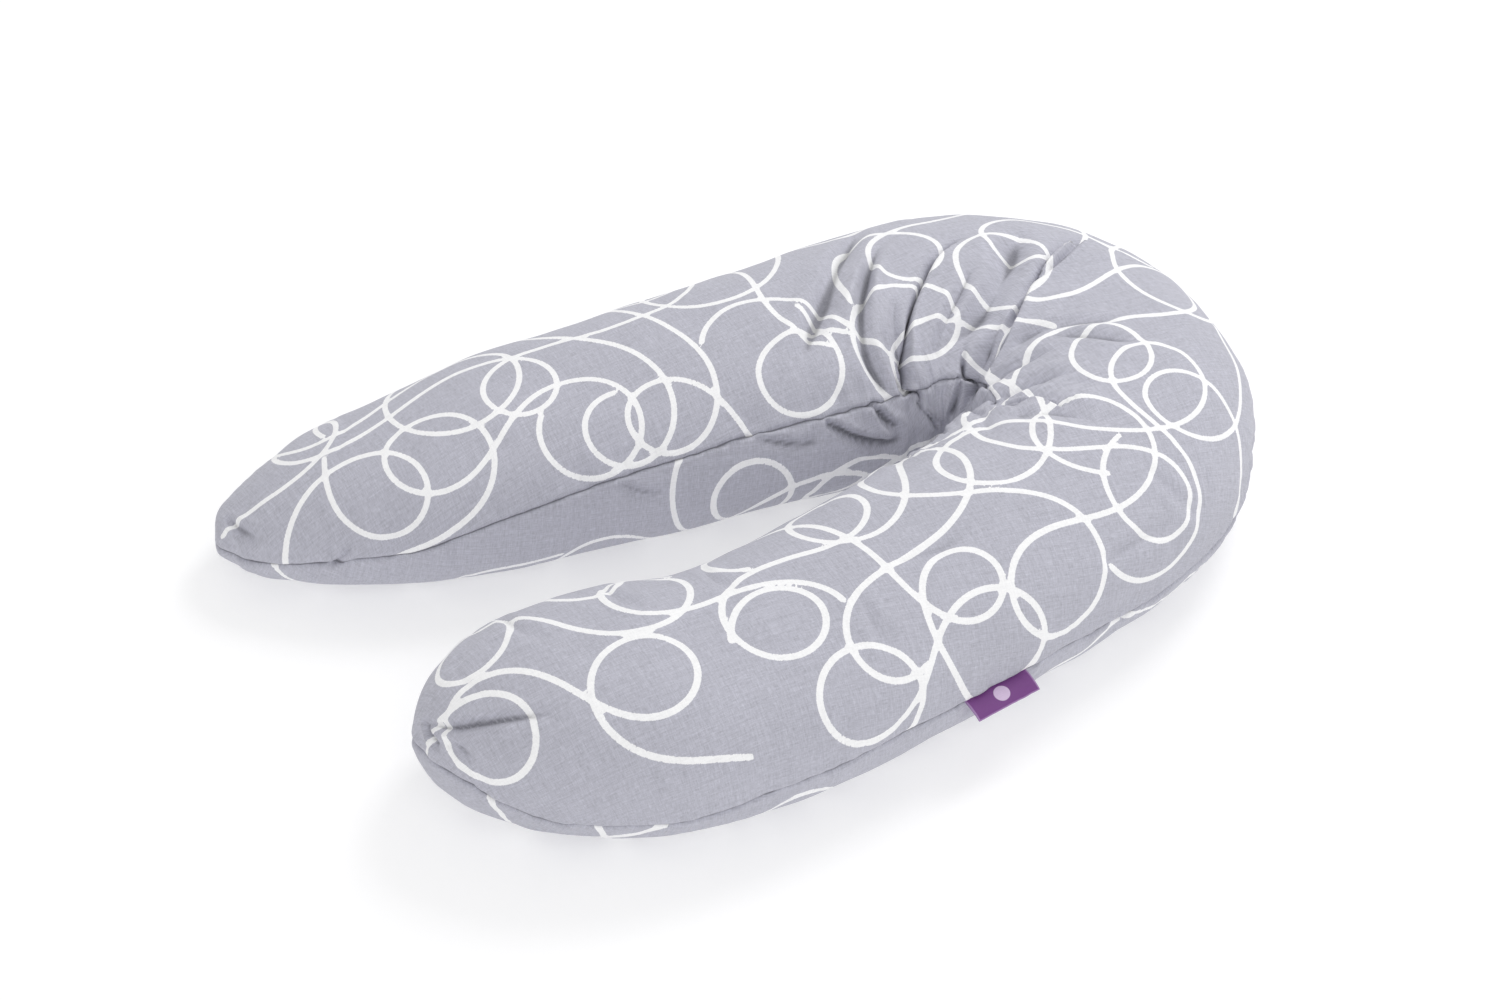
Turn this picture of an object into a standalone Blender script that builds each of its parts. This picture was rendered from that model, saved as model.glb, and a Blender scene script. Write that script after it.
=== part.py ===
"""Nursing pillow: a bead-filled fabric tube bent into a U, lying flat.

Frame: metres, +Z up, origin on the floor under the middle of the bounding box.
+X points to the closed end of the U. The back arm lies at +Y, the front arm at -Y.

The tube is three soft bodies: the bend in the middle and an arm at each side. Each
arm swings on a vertical hinge through the middle of the tube. A slide fastener runs
along the outer seam of the back arm, with a slider that travels and a pull that flips.
"""

import math

import bmesh
import bpy
import numpy as np
from mathutils import Vector

# ---------------------------------------------------------------- dimensions
COVER_T = 0.0003          # woven cotton cover
LINER_T = 0.0002          # inner bag
LAYER_GAP = 0.00034       # air between two layers
SEAM_HALF_GAP = 0.0002    # half the space between upper and lower panel at a seam
RING_STEPS = 18           # facets round the tube, seams at 0 and 180 degrees
SIDE_POWER = 0.90         # section fullness: sideways, upwards, downwards
TOP_POWER = 0.95
BASE_POWER = 0.70

BACK_PIVOT = (0.060, 0.147)     # hinge of the back arm
FRONT_PIVOT = (-0.070, -0.155)  # hinge of the front arm
OPEN_RELIEF = math.radians(27)  # the outer half of an arm's end slopes back this much
SHUT_RELIEF = math.radians(9)   # the inner half slopes back this much
PIVOT_CLEAR = 0.0015            # from a pivot to each of the two facing ends

# outer seam x, y; inner seam x, y; height; seam height
BACK_TIP = (-0.402, 0.240, 0.034)
BACK_ROWS = [
    (-0.340, 0.262, -0.386, 0.171, 0.0735, 0.0410),
    (-0.293, 0.2665, -0.341, 0.129, 0.0995, 0.0500),
    (-0.244, 0.2651, -0.284, 0.097, 0.1181, 0.0535),
    (-0.192, 0.2636, -0.221, 0.074, 0.1311, 0.0573),
    (-0.133, 0.2619, -0.154, 0.061, 0.1376, 0.0615),
    (-0.066, 0.2600, -0.086, 0.053, 0.1451, 0.0663),
    (0.000, 0.2581, -0.012, 0.045, 0.1525, 0.0711),
]
BACK_END = (0.2564, 0.037, 0.157, 0.0752)      # outer y, inner y, height, seam height at the pivot
FRONT_TIP = (-0.355, -0.063, 0.052)
FRONT_ROWS = [
    (-0.362, -0.148, -0.278, -0.034, 0.1163, 0.0547),
    (-0.325, -0.201, -0.230, -0.038, 0.1386, 0.0651),
    (-0.266, -0.242, -0.192, -0.044, 0.1442, 0.0678),
    (-0.190, -0.263, -0.160, -0.050, 0.1420, 0.0667),
    (-0.140, -0.2665, -0.137, -0.0505, 0.1410, 0.0663),
]
FRONT_END = (-0.2640, -0.0465, 0.1425, 0.0670)
BEND_ROWS = [
    (0.145, 0.258, 0.143, 0.031, 0.157, 0.0740),
    (0.256, 0.252, 0.1555, 0.029, 0.155, 0.0730),
    (0.387, 0.125, 0.1628, 0.0205, 0.152, 0.0714),
    (0.391, -0.022, 0.1628, 0.0125, 0.152, 0.0714),
    (0.324, -0.145, 0.1560, 0.0035, 0.154, 0.0724),
    (0.217, -0.206, 0.1320, 0.0010, 0.1555, 0.0731),
    (0.125, -0.231, 0.078, -0.018, 0.1562, 0.0734),
    (0.048, -0.245, 0.010, -0.031, 0.1516, 0.0713),
]
# (the curve through these rows reaches 0.405 along X, so the box is centred on the origin)

ZIP_START_X = -0.286      # fastener along the back arm's outer seam
ZIP_END_X = -0.046
ZIP_TAPE_W = 0.0095
ZIP_TAPE_T = 0.0005
ZIP_COIL_W = 0.0020
ZIP_COIL_T = 0.0014
ZIP_STANDOFF = 0.0006
SLIDER_L = 0.011
SLIDER_HALF_W = 0.0046
PULL_L = 0.027
PULL_HALF_W = 0.0036
PULL_T = 0.0012
STOP_L = 0.0022

LABEL_X = 0.046           # middle of the woven label on the front outer seam
LABEL_L = 0.058
LABEL_H = 0.023
LABEL_T = 0.0012
CARE_X = 0.205            # care label on the back outer seam of the bend
CARE_L = 0.030
CARE_H = 0.044
CARE_T = 0.0006

MATERIALS = {
    "cover_upper": ((0.47, 0.47, 0.53, 1), 0.86, 0.0),
    "cover_lower": ((0.46, 0.46, 0.52, 1), 0.86, 0.0),
    "liner": ((0.82, 0.82, 0.80, 1), 0.80, 0.0),
    "beads": ((0.90, 0.90, 0.88, 1), 0.70, 0.0),
    "label": ((0.23, 0.09, 0.26, 1), 0.75, 0.0),
    "care_label": ((0.85, 0.85, 0.83, 1), 0.70, 0.0),
    "tape": ((0.42, 0.42, 0.47, 1), 0.85, 0.0),
    "coil": ((0.48, 0.48, 0.52, 1), 0.45, 0.0),
    "zip_metal": ((0.45, 0.45, 0.47, 1), 0.35, 1.0),
}


# ------------------------------------------------------------------- scene
for old in list(bpy.data.objects):
    bpy.data.objects.remove(old, do_unlink=True)


def material(key, name):
    colour, rough, metal = MATERIALS[key]
    mat = bpy.data.materials.new(name)
    mat.use_nodes = True
    shader = mat.node_tree.nodes["Principled BSDF"]
    shader.inputs["Base Color"].default_value = colour
    shader.inputs["Roughness"].default_value = rough
    shader.inputs["Metallic"].default_value = metal
    mat.diffuse_color = colour
    return mat


class Anchor(dict):
    """A named empty and the world point it stands on."""


def anchor(name, at, parent=None):
    empty = bpy.data.objects.new(name, None)
    empty.empty_display_size = 0.03
    bpy.context.scene.collection.objects.link(empty)
    at = Vector(at)
    if parent is None:
        empty.location = at
    else:
        empty.parent = parent["empty"]
        empty.location = at - parent["at"]
    return Anchor(empty=empty, at=at)


def add_object(name, points, faces, key, parent, smooth=True):
    """One closed body from world points, placed under its parent empty."""
    mesh = bpy.data.meshes.new(name)
    at = parent["at"]
    mesh.from_pydata([tuple(Vector(p) - at) for p in points], [], faces)
    mesh.update()
    bm = bmesh.new()
    bm.from_mesh(mesh)
    bmesh.ops.recalc_face_normals(bm, faces=bm.faces)
    bm.to_mesh(mesh)
    bm.free()
    mesh.materials.append(material(key, name))
    if smooth:
        mesh.shade_smooth()
        mesh.set_sharp_from_angle(angle=math.radians(40))
    obj = bpy.data.objects.new(name, mesh)
    bpy.context.scene.collection.objects.link(obj)
    obj.parent = parent["empty"]
    return obj


# ------------------------------------------------------------- tube surface
def section(outer, inner, height, seam):
    """Points round one slice, from the outer seam over the top to the inner seam and back under."""
    outer, inner = np.array(outer, float), np.array(inner, float)
    middle, half = (outer + inner) / 2, (outer - inner) / 2
    base = 1 - abs(math.sin(math.radians(90 - 180 / RING_STEPS))) ** BASE_POWER
    ring = []
    for k in range(RING_STEPS):
        t = 2 * math.pi * k / RING_STEPS
        c, s = math.cos(t), math.sin(t)
        if k in (0, RING_STEPS // 2):
            s = 0.0
        across = math.copysign(abs(c) ** SIDE_POWER, c)
        if s >= 0:
            z = seam + (height - seam) * s ** TOP_POWER
        else:
            z = seam * max(0.0, 1 - (abs(s) ** BASE_POWER) / (1 - base))
        xy = middle + half * across
        ring.append((xy[0], xy[1], z))
    return ring


def tip_rings(tip, row):
    """Slices that close the tube from its first full slice to the tip point."""
    tx, ty, tz = tip
    ox, oy, ix, iy, height, seam = row
    middle = np.array([(ox + ix) / 2, (oy + iy) / 2])
    half = np.array([(ox - ix) / 2, (oy - iy) / 2])
    rings = []
    for q in (0.07, 0.28, 0.62):
        centre = np.array([tx, ty]) * (1 - q) + middle * q
        # each slice turns from square across the tip's line to the first full slice
        f = math.sqrt(q * (2 - q)) * (0.80 + 0.20 * q)
        up = (q * (2 - q)) ** 0.45 * (0.85 + 0.15 * q)
        s = tz * (1 - q) + seam * q
        top = s + (height - seam) * up
        low = s - seam * up if s > seam * up else 0.0
        ring = section(centre + half * f, centre - half * f, 1.0, 0.5)
        shaped = []
        for x, y, z in ring:
            shaped.append((x, y, s + (top - s) * (z - 0.5) * 2 if z >= 0.5 else s - (s - low) * (0.5 - z) * 2))
        rings.append(shaped)
    return rings


def catmull(rows, u):
    """Smooth value through the rows at parameter u."""
    rows = np.array(rows, float)
    i = int(min(max(math.floor(u), 0), len(rows) - 2))
    t = u - i
    p1, p2 = rows[i], rows[i + 1]
    p0 = rows[i - 1] if i > 0 else 2 * p1 - p2
    p3 = rows[i + 2] if i + 2 < len(rows) else 2 * p2 - p1
    return 0.5 * ((2 * p1) + (p2 - p0) * t + (2 * p0 - 5 * p1 + 4 * p2 - p3) * t * t + (3 * p1 - p0 - 3 * p2 + p3) * t ** 3)


def row_ring(row):
    return section(row[0:2], row[2:4], row[4], row[5])


def arm_end(pivot, end, toward):
    """The arm's last slice. It stands on the pivot and slopes back on both sides of it."""
    outer_y, inner_y, height, seam = end
    x = pivot[0] - PIVOT_CLEAR
    ring = section((x, outer_y), (x, inner_y), height, seam)
    out = []
    for px, py, pz in ring:
        r = (py - pivot[1]) * toward
        relief = math.tan(OPEN_RELIEF) * r if r > 0 else -math.tan(SHUT_RELIEF) * r
        out.append((px - relief, py, pz))
    return out


def bend_end(pivot, end):
    outer_y, inner_y, height, seam = end
    x = pivot[0] + PIVOT_CLEAR
    return (x, outer_y, x, inner_y, height, seam)


BEND_ALL = [bend_end(BACK_PIVOT, BACK_END)] + BEND_ROWS + [bend_end(FRONT_PIVOT, FRONT_END)]


def surface(rings, tip=None, flat_ends=(0, -1)):
    """Grid of points and unit normals that point out of the tube."""
    P = np.array(rings, float)
    n, m = P.shape[:2]
    N = np.zeros_like(P)
    centre = P.mean(axis=1)
    for i in range(n - 1):
        for j in range(m):
            a, b, c, d = P[i, j], P[i + 1, j], P[i + 1, (j + 1) % m], P[i, (j + 1) % m]
            v = np.cross(c - a, d - b)
            mid = (a + b + c + d) / 4 - (centre[i] + centre[i + 1]) / 2
            if v @ mid < 0:
                v = -v
            length = np.linalg.norm(v)
            if length > 0:
                v = v / length
            for ii, jj in ((i, j), (i + 1, j), (i + 1, (j + 1) % m), (i, (j + 1) % m)):
                N[ii, jj] += v
    if tip is not None:
        out = np.array(tip, float) - centre[0]
        out /= np.linalg.norm(out)
        for j in range(m):
            a, b = P[0, j], P[0, (j + 1) % m]
            v = np.cross(a - np.array(tip), b - np.array(tip))
            if v @ out < 0:
                v = -v
            length = np.linalg.norm(v)
            if length > 0:
                v = v / length
            N[0, j] += v
            N[0, (j + 1) % m] += v
    for e in flat_ends:
        N[e, :, 0] = 0.0
    N /= np.linalg.norm(N, axis=2)[:, :, None]
    tips = None
    if tip is not None:
        tips = (np.array(tip, float), out)
    return P, N, tips


def layer(surf, depth):
    """The same grid moved inwards by depth."""
    P, N, tips = surf
    inner = P - N * depth * 1.04
    tip = None if tips is None else tips[0] - tips[1] * depth * 1.04
    return inner, tip


def panel(name, surf, depth, thick, upper, key, parent):
    """Half of the tube's wall, one fabric panel thick, from seam to seam."""
    outer, tip_o = layer(surf, depth)
    inner, tip_i = layer(surf, depth + thick)
    n, m = outer.shape[:2]
    half = m // 2
    cols = list(range(0, half + 1)) if upper else [(half + k) % m for k in range(0, half + 1)]
    lift = SEAM_HALF_GAP if upper else -SEAM_HALF_GAP
    points, faces = [], []

    def put(grid):
        index = []
        for i in range(n):
            line = []
            for c, j in enumerate(cols):
                p = grid[i, j].copy()
                if c in (0, len(cols) - 1):
                    p[2] += lift
                line.append(len(points))
                points.append(tuple(p))
            index.append(line)
        return index

    A, B = put(outer), put(inner)
    w = len(cols)
    for grid, flip in ((A, False), (B, True)):
        for i in range(n - 1):
            for c in range(w - 1):
                a, b, d, e = grid[i][c], grid[i + 1][c], grid[i + 1][c + 1], grid[i][c + 1]
                tri = [(a, b, d), (a, d, e)]
                faces += [t[::-1] for t in tri] if flip else tri
    for i in range(n - 1):          # the two seam edges
        faces.append((A[i][0], B[i][0], B[i + 1][0], A[i + 1][0]))
        faces.append((A[i][-1], A[i + 1][-1], B[i + 1][-1], B[i][-1]))
    for c in range(w - 1):          # the open end at the hinge
        faces.append((A[-1][c], B[-1][c], B[-1][c + 1], A[-1][c + 1]))
    if tip_o is not None:           # the closed tip
        to, ti = len(points), len(points) + 1
        points.append(tuple(tip_o + np.array([0, 0, lift])))
        points.append(tuple(tip_i + np.array([0, 0, lift])))
        for c in range(w - 1):
            faces.append((to, A[0][c], A[0][c + 1]))
            faces.append((ti, B[0][c + 1], B[0][c]))
        faces.append((to, ti, B[0][0], A[0][0]))
        faces.append((to, A[0][-1], B[0][-1], ti))
    else:
        for c in range(w - 1):
            faces.append((A[0][c], A[0][c + 1], B[0][c + 1], B[0][c]))
    return add_object(name, points, faces, key, parent)


def fill(name, surf, depth, key, parent):
    """The bead mass: a closed body inside the liner."""
    grid, tip = layer(surf, depth)
    n, m = grid.shape[:2]
    points = [tuple(p) for p in grid.reshape(-1, 3)]
    faces = []
    for i in range(n - 1):
        for j in range(m):
            a, b = i * m + j, (i + 1) * m + j
            c, d = (i + 1) * m + (j + 1) % m, i * m + (j + 1) % m
            faces += [(a, b, c), (a, c, d)]

    def cap(i):
        # strips that join each point of the top to the one below it
        for k in range(m // 2):
            a, b = i * m + k, i * m + k + 1
            c, d = i * m + (m - k - 1) % m, i * m + (m - k) % m
            quad = [v for q, v in enumerate((a, b, c, d)) if v not in (a, b, c, d)[:q]]
            faces.append(tuple(quad))

    cap(n - 1)
    if tip is not None:
        points.append(tuple(tip))
        for j in range(m):
            faces.append((len(points) - 1, j, (j + 1) % m))
    else:
        cap(0)
    return add_object(name, points, faces, key, parent)


# -------------------------------------------------------------- soft bodies
bend = anchor("bend_frame", (0, 0, 0))
back = anchor("back_arm_pivot", (BACK_PIVOT[0], BACK_PIVOT[1], 0), bend)
front = anchor("front_arm_pivot", (FRONT_PIVOT[0], FRONT_PIVOT[1], 0), bend)

back_rings = tip_rings(BACK_TIP, BACK_ROWS[0])
back_rings += [row_ring(r) for r in BACK_ROWS]
back_rings.append(arm_end(BACK_PIVOT, BACK_END, 1.0))
front_rings = tip_rings(FRONT_TIP, FRONT_ROWS[0])
front_rings += [row_ring(r) for r in FRONT_ROWS]
front_rings.append(arm_end(FRONT_PIVOT, FRONT_END, -1.0))
steps = []
for i in range(len(BEND_ALL) - 1):
    steps.append(float(i))
    if 1 <= i <= 5:
        steps.append(i + 0.5)
steps.append(float(len(BEND_ALL) - 1))
bend_rings = [row_ring(catmull(BEND_ALL, u)) for u in steps]

SOFT = {
    "back": (surface(back_rings, BACK_TIP, (-1,)), back),
    "bend": (surface(bend_rings), bend),
    "front": (surface(front_rings, FRONT_TIP, (-1,)), front),
}
for side, (surf, parent) in SOFT.items():
    d = 0.0
    panel(f"cover_upper_{side}", surf, d, COVER_T, True, "cover_upper", parent)
    panel(f"cover_lower_{side}", surf, d, COVER_T, False, "cover_lower", parent)
    d += COVER_T + LAYER_GAP
    panel(f"liner_upper_{side}", surf, d, LINER_T, True, "liner", parent)
    panel(f"liner_lower_{side}", surf, d, LINER_T, False, "liner", parent)
    d += LINER_T + LAYER_GAP
    fill(f"bead_fill_{side}", surf, d, "beads", parent)


# ------------------------------------------------------------ slide fastener
def seam_line(x):
    """Point of the back arm's outer seam at x, on its straight stretch."""
    a, b = np.array(BACK_ROWS[1]), np.array(BACK_ROWS[6])
    t = (x - a[0]) / (b[0] - a[0])
    return np.array([x, a[1] + t * (b[1] - a[1]), a[5] + t * (b[5] - a[5])])


ZIP_A, ZIP_B = seam_line(ZIP_START_X), seam_line(ZIP_END_X)
ZIP_L = float(np.linalg.norm(ZIP_B - ZIP_A))
along = (ZIP_B - ZIP_A) / ZIP_L
outward = np.cross(np.array([0, 0, 1.0]), along)
outward = outward / np.linalg.norm(outward)
upward = np.cross(along, outward)


def zip_point(s, v, n):
    return ZIP_A + along * s + upward * v + outward * n


def zip_prism(name, outline, plane, low, high, key, parent, holes=()):
    """A flat outline pushed from low to high. plane says which two of s, v, n the outline is in."""
    order = {"sv": (0, 1, 2), "sn": (0, 2, 1), "vn": (1, 2, 0)}[plane]
    points, faces = [], []
    loops = [list(outline)] + [list(h) for h in holes]
    for level in (low, high):
        for loop in loops:
            for a, b in loop:
                local = [0.0, 0.0, 0.0]
                local[order[0]], local[order[1]], local[order[2]] = a, b, level
                points.append(tuple(zip_point(*local)))
    total = sum(len(loop) for loop in loops)
    start = 0
    for loop in loops:
        n = len(loop)
        for k in range(n):
            a, b = start + k, start + (k + 1) % n
            faces.append((a, b, b + total, a + total))
        start += n
    if not holes:
        faces.append(tuple(range(total)))
        faces.append(tuple(range(total, 2 * total)))
    else:                         # one hole with as many corners as the outline
        n = len(loops[0])
        for base in (0, total):
            for k in range(n):
                faces.append((base + k, base + (k + 1) % n, base + n + (k + 1) % n, base + n + k))
    return add_object(name, points, faces, key, parent, smooth=False)


def chamfered(x0, x1, y0, y1, c):
    return [(x0 + c, y0), (x1 - c, y0), (x1, y0 + c), (x1, y1 - c),
            (x1 - c, y1), (x0 + c, y1), (x0, y1 - c), (x0, y0 + c)]


tape_n0 = ZIP_STANDOFF
tape_n1 = tape_n0 + ZIP_TAPE_T
coil_n0 = tape_n1 + 0.0003
coil_n1 = coil_n0 + ZIP_COIL_T
COIL_GAP = 0.0002
for label, sign in (("upper", 1), ("lower", -1)):
    v0, v1 = sorted((sign * 0.0009, sign * (0.0009 + ZIP_TAPE_W)))
    zip_prism(f"zip_tape_{label}", chamfered(0.0, ZIP_L, v0, v1, 0.0012), "sv", tape_n0, tape_n1, "tape", back)
    v0, v1 = sorted((sign * COIL_GAP, sign * (COIL_GAP + ZIP_COIL_W)))
    zip_prism(f"zip_coil_{label}", chamfered(v0, v1, coil_n0, coil_n1, 0.00045), "vn",
              STOP_L + 0.0012, ZIP_L - STOP_L - 0.0012, "coil", back)
for label, s0 in (("bottom", 0.0004), ("top", ZIP_L - STOP_L - 0.0004)):
    zip_prism(f"zip_{label}_stop", chamfered(s0, s0 + STOP_L, -0.0027, 0.0027, 0.0005), "sv",
              coil_n0, coil_n1 + 0.0004, "zip_metal", back)

# the slider waits at the closed end, by the top stop
SLIDE_REST = ZIP_L - STOP_L - 0.0014 - SLIDER_L / 2
slider = anchor("zip_slider_frame", zip_point(SLIDE_REST, 0, 0), back)
roof_n0 = coil_n1 + 0.0004
roof_n1 = roof_n0 + 0.0011
side_v = COIL_GAP + ZIP_COIL_W + 0.0004
flange_n = tape_n1 + 0.0004
profile = [(-SLIDER_HALF_W, flange_n), (-side_v, flange_n), (-side_v, roof_n0), (side_v, roof_n0),
           (side_v, flange_n), (SLIDER_HALF_W, flange_n), (SLIDER_HALF_W, roof_n1 - 0.0004),
           (SLIDER_HALF_W - 0.0005, roof_n1), (-SLIDER_HALF_W + 0.0005, roof_n1), (-SLIDER_HALF_W, roof_n1 - 0.0004)]
body = zip_prism("zip_slider", profile, "vn", SLIDE_REST - SLIDER_L / 2, SLIDE_REST + SLIDER_L / 2,
                 "zip_metal", slider)
# arch on top of the slider, which holds the pull's bar
PIN_N = roof_n1 + 0.0011
arch_out = [(SLIDE_REST - 0.0028, roof_n1 - 0.0003), (SLIDE_REST + 0.0028, roof_n1 - 0.0003),
            (SLIDE_REST + 0.0026, PIN_N + 0.0012), (SLIDE_REST + 0.0015, PIN_N + 0.0021),
            (SLIDE_REST - 0.0015, PIN_N + 0.0021), (SLIDE_REST - 0.0026, PIN_N + 0.0012)]
arch_in = [(SLIDE_REST - 0.0015, roof_n1 + 0.00005), (SLIDE_REST + 0.0015, roof_n1 + 0.00005),
           (SLIDE_REST + 0.0015, PIN_N + 0.0007), (SLIDE_REST + 0.0011, PIN_N + 0.0010),
           (SLIDE_REST - 0.0011, PIN_N + 0.0010), (SLIDE_REST - 0.0015, PIN_N + 0.0007)]
arch = zip_prism("zip_slider_arch_guide", arch_out, "sn", -0.0012, 0.0012, "zip_metal", slider, holes=(arch_in,))
arch.hide_render = True
arch.display_type = "WIRE"
join = body.modifiers.new("arch", "BOOLEAN")
join.operation = "UNION"
join.solver = "EXACT"
join.object = arch

# the pull: a flat tab with a window, whose end bar turns in the arch
pull = anchor("zip_pull_hinge", zip_point(SLIDE_REST, 0, PIN_N), slider)
bar = 0.0006
tab_out = [(SLIDE_REST + bar, -PULL_HALF_W * 0.85), (SLIDE_REST + bar, PULL_HALF_W * 0.85),
           (SLIDE_REST - PULL_L + 0.002, PULL_HALF_W), (SLIDE_REST - PULL_L, PULL_HALF_W - 0.0015),
           (SLIDE_REST - PULL_L, -PULL_HALF_W + 0.0015), (SLIDE_REST - PULL_L + 0.002, -PULL_HALF_W)]
window = [(SLIDE_REST - bar, -0.0018), (SLIDE_REST - bar, 0.0018),
          (SLIDE_REST - 0.0046, 0.0018), (SLIDE_REST - 0.0054, 0.0010),
          (SLIDE_REST - 0.0054, -0.0010), (SLIDE_REST - 0.0046, -0.0018)]
zip_prism("zip_pull", tab_out, "sv", PIN_N - PULL_T / 2, PIN_N + PULL_T / 2, "zip_metal", pull, holes=(window,))


# -------------------------------------------------------------------- labels
def hanging_label(name, x, outer_side, length, height, thick, key):
    """A flat tab that hangs from the bend's outer seam, just clear of the cover."""
    best = None
    for k in range(400):
        u = k * (len(BEND_ALL) - 1) / 399
        row = catmull(BEND_ALL, u)
        if row[1] * outer_side > 0 and (best is None or abs(row[0] - x) < best[0]):
            best = (abs(row[0] - x), u)
    u = best[1]
    here, ahead = catmull(BEND_ALL, u), catmull(BEND_ALL, u + 0.05)
    tangent = np.array([ahead[0] - here[0], ahead[1] - here[1], 0.0])
    tangent /= np.linalg.norm(tangent)
    out = np.array([tangent[1], -tangent[0], 0.0])
    if out[1] * outer_side < 0:
        out = -out
    near = [catmull(BEND_ALL, u + w * 0.02) for w in range(-60, 61) if 0 <= u + w * 0.02 <= len(BEND_ALL) - 1]
    centre = np.array([here[0], here[1], 0.0])
    reach = max((np.array([r[0], r[1], 0.0]) - centre) @ out for r in near
                if abs((np.array([r[0], r[1], 0.0]) - centre) @ tangent) <= length * 0.5 + 0.004)
    top = here[5] - 0.0008
    points = []
    for dn in (reach + 0.0006, reach + 0.0006 + thick):
        for ds, dz in ((-length / 2, 0.0), (length / 2, 0.0), (length / 2, -height), (-length / 2, -height)):
            points.append(tuple(centre + tangent * ds + out * dn + np.array([0, 0, top + dz])))
    faces = [(0, 1, 2, 3), (4, 5, 6, 7), (0, 1, 5, 4), (1, 2, 6, 5), (2, 3, 7, 6), (3, 0, 4, 7)]
    return add_object(name, points, faces, key, bend, smooth=False)


hanging_label("side_label", LABEL_X, -1, LABEL_L, LABEL_H, LABEL_T, "label")
hanging_label("care_label", CARE_X, 1, CARE_L, CARE_H, CARE_T, "care_label")
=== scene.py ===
"""Looks of the nursing pillow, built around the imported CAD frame.

The cover is a tube of woven cotton. Its form is lofted along a bent centreline, folds are
raised and sunk along the lines where the fabric gathers in the crook, a cloth solver then
relaxes the fabric (it is longer than its place on the inside of the bend and beside the
seams, so it buckles), and the printed loops, the weave and the seams are laid on it.
"""
import math

import bmesh
import bpy
import numpy as np
from mathutils import Matrix, Vector, bvhtree, kdtree, noise


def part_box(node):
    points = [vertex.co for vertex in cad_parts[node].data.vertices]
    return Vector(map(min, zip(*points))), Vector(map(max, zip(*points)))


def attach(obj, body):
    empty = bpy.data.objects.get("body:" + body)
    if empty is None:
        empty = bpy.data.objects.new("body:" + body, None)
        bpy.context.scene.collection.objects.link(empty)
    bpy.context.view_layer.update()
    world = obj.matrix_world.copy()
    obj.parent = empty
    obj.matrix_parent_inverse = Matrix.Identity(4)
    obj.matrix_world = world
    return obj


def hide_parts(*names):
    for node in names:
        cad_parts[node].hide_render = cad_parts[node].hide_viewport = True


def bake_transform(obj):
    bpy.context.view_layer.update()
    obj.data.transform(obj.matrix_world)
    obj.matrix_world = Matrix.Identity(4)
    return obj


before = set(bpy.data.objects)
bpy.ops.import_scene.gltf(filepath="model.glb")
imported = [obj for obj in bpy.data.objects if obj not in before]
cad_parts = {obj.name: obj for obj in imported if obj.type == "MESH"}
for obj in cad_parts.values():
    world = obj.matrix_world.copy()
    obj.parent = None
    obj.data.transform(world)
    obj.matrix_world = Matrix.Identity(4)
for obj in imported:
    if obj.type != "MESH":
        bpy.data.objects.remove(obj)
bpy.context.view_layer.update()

# ------------------------------------------------------------------ pillow form
CENTRE = [(-.4068, .2192), (-.1833, .1686), (-.0747, .1571), (.1058, .1434), (.2542, .1120), (.2674, -.0136), (.0107, -.1404), (-.0535, -.1523), (-.3557, -.0714)]
HALF_W = [.0978, .1024, .1107, .1327, .1081, .1077, .1105]
HEIGHT = [.1035, .1369, .1561, .1495, .1488, .1431, .1591]
TIP_LEN = [.2684, .1852]
TIP_LIFT = 0.62
SEAM_Z = 0.47
CROOK = (.148,.0158)
CROOK_R = .015
CROOK_S = (.372,.628)


def cubic(x, y, q):
    """Not-a-knot cubic through (x, y), read at q."""
    x, y = np.asarray(x, float), np.asarray(y, float)
    n, h = len(x), np.diff(x)
    A = np.zeros((n, n))
    B = np.zeros(y.shape)
    for i in range(1, n - 1):
        A[i, i - 1], A[i, i], A[i, i + 1] = h[i - 1], 2 * (h[i - 1] + h[i]), h[i]
        B[i] = 6 * ((y[i + 1] - y[i]) / h[i] - (y[i] - y[i - 1]) / h[i - 1])
    A[0, 0], A[0, 1], A[0, 2] = h[1], -(h[0] + h[1]), h[0]
    A[-1, -1], A[-1, -2], A[-1, -3] = h[-2], -(h[-1] + h[-2]), h[-1]
    M = np.linalg.solve(A, B)
    q = np.asarray(q, float)
    k = np.clip(np.searchsorted(x, q, side="right") - 1, 0, n - 2)
    shape = (len(q),) + (1,) * (y.ndim - 1)
    hk = h[k].reshape(shape)
    a, b = ((x[k + 1] - q).reshape(shape)) / hk, ((q - x[k]).reshape(shape)) / hk
    return a * y[k] + b * y[k + 1] + ((a ** 3 - a) * M[k] + (b ** 3 - b) * M[k + 1]) * hk ** 2 / 6


def pchip(x, y, q):
    """Monotone cubic through (x, y), read at q."""
    x, y = np.asarray(x, float), np.asarray(y, float)
    h, d = np.diff(x), np.diff(y) / np.diff(x)
    m = np.zeros(len(x))
    for i in range(1, len(x) - 1):
        if d[i - 1] * d[i] > 0:
            w1, w2 = 2 * h[i] + h[i - 1], h[i] + 2 * h[i - 1]
            m[i] = (w1 + w2) / (w1 / d[i - 1] + w2 / d[i])
    m[0], m[-1] = d[0], d[-1]
    q = np.clip(np.asarray(q, float), x[0], x[-1])
    k = np.clip(np.searchsorted(x, q, side="right") - 1, 0, len(x) - 2)
    t = (q - x[k]) / h[k]
    return ((2 * t ** 3 - 3 * t ** 2 + 1) * y[k] + (t ** 3 - 2 * t ** 2 + t) * h[k] * m[k]
            + (-2 * t ** 3 + 3 * t ** 2) * y[k + 1] + (t ** 3 - t ** 2) * h[k] * m[k + 1])


def smooth(x, a, b):
    t = np.clip((np.asarray(x, float) - a) / (b - a), 0, 1)
    return t * t * (3 - 2 * t)


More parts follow.
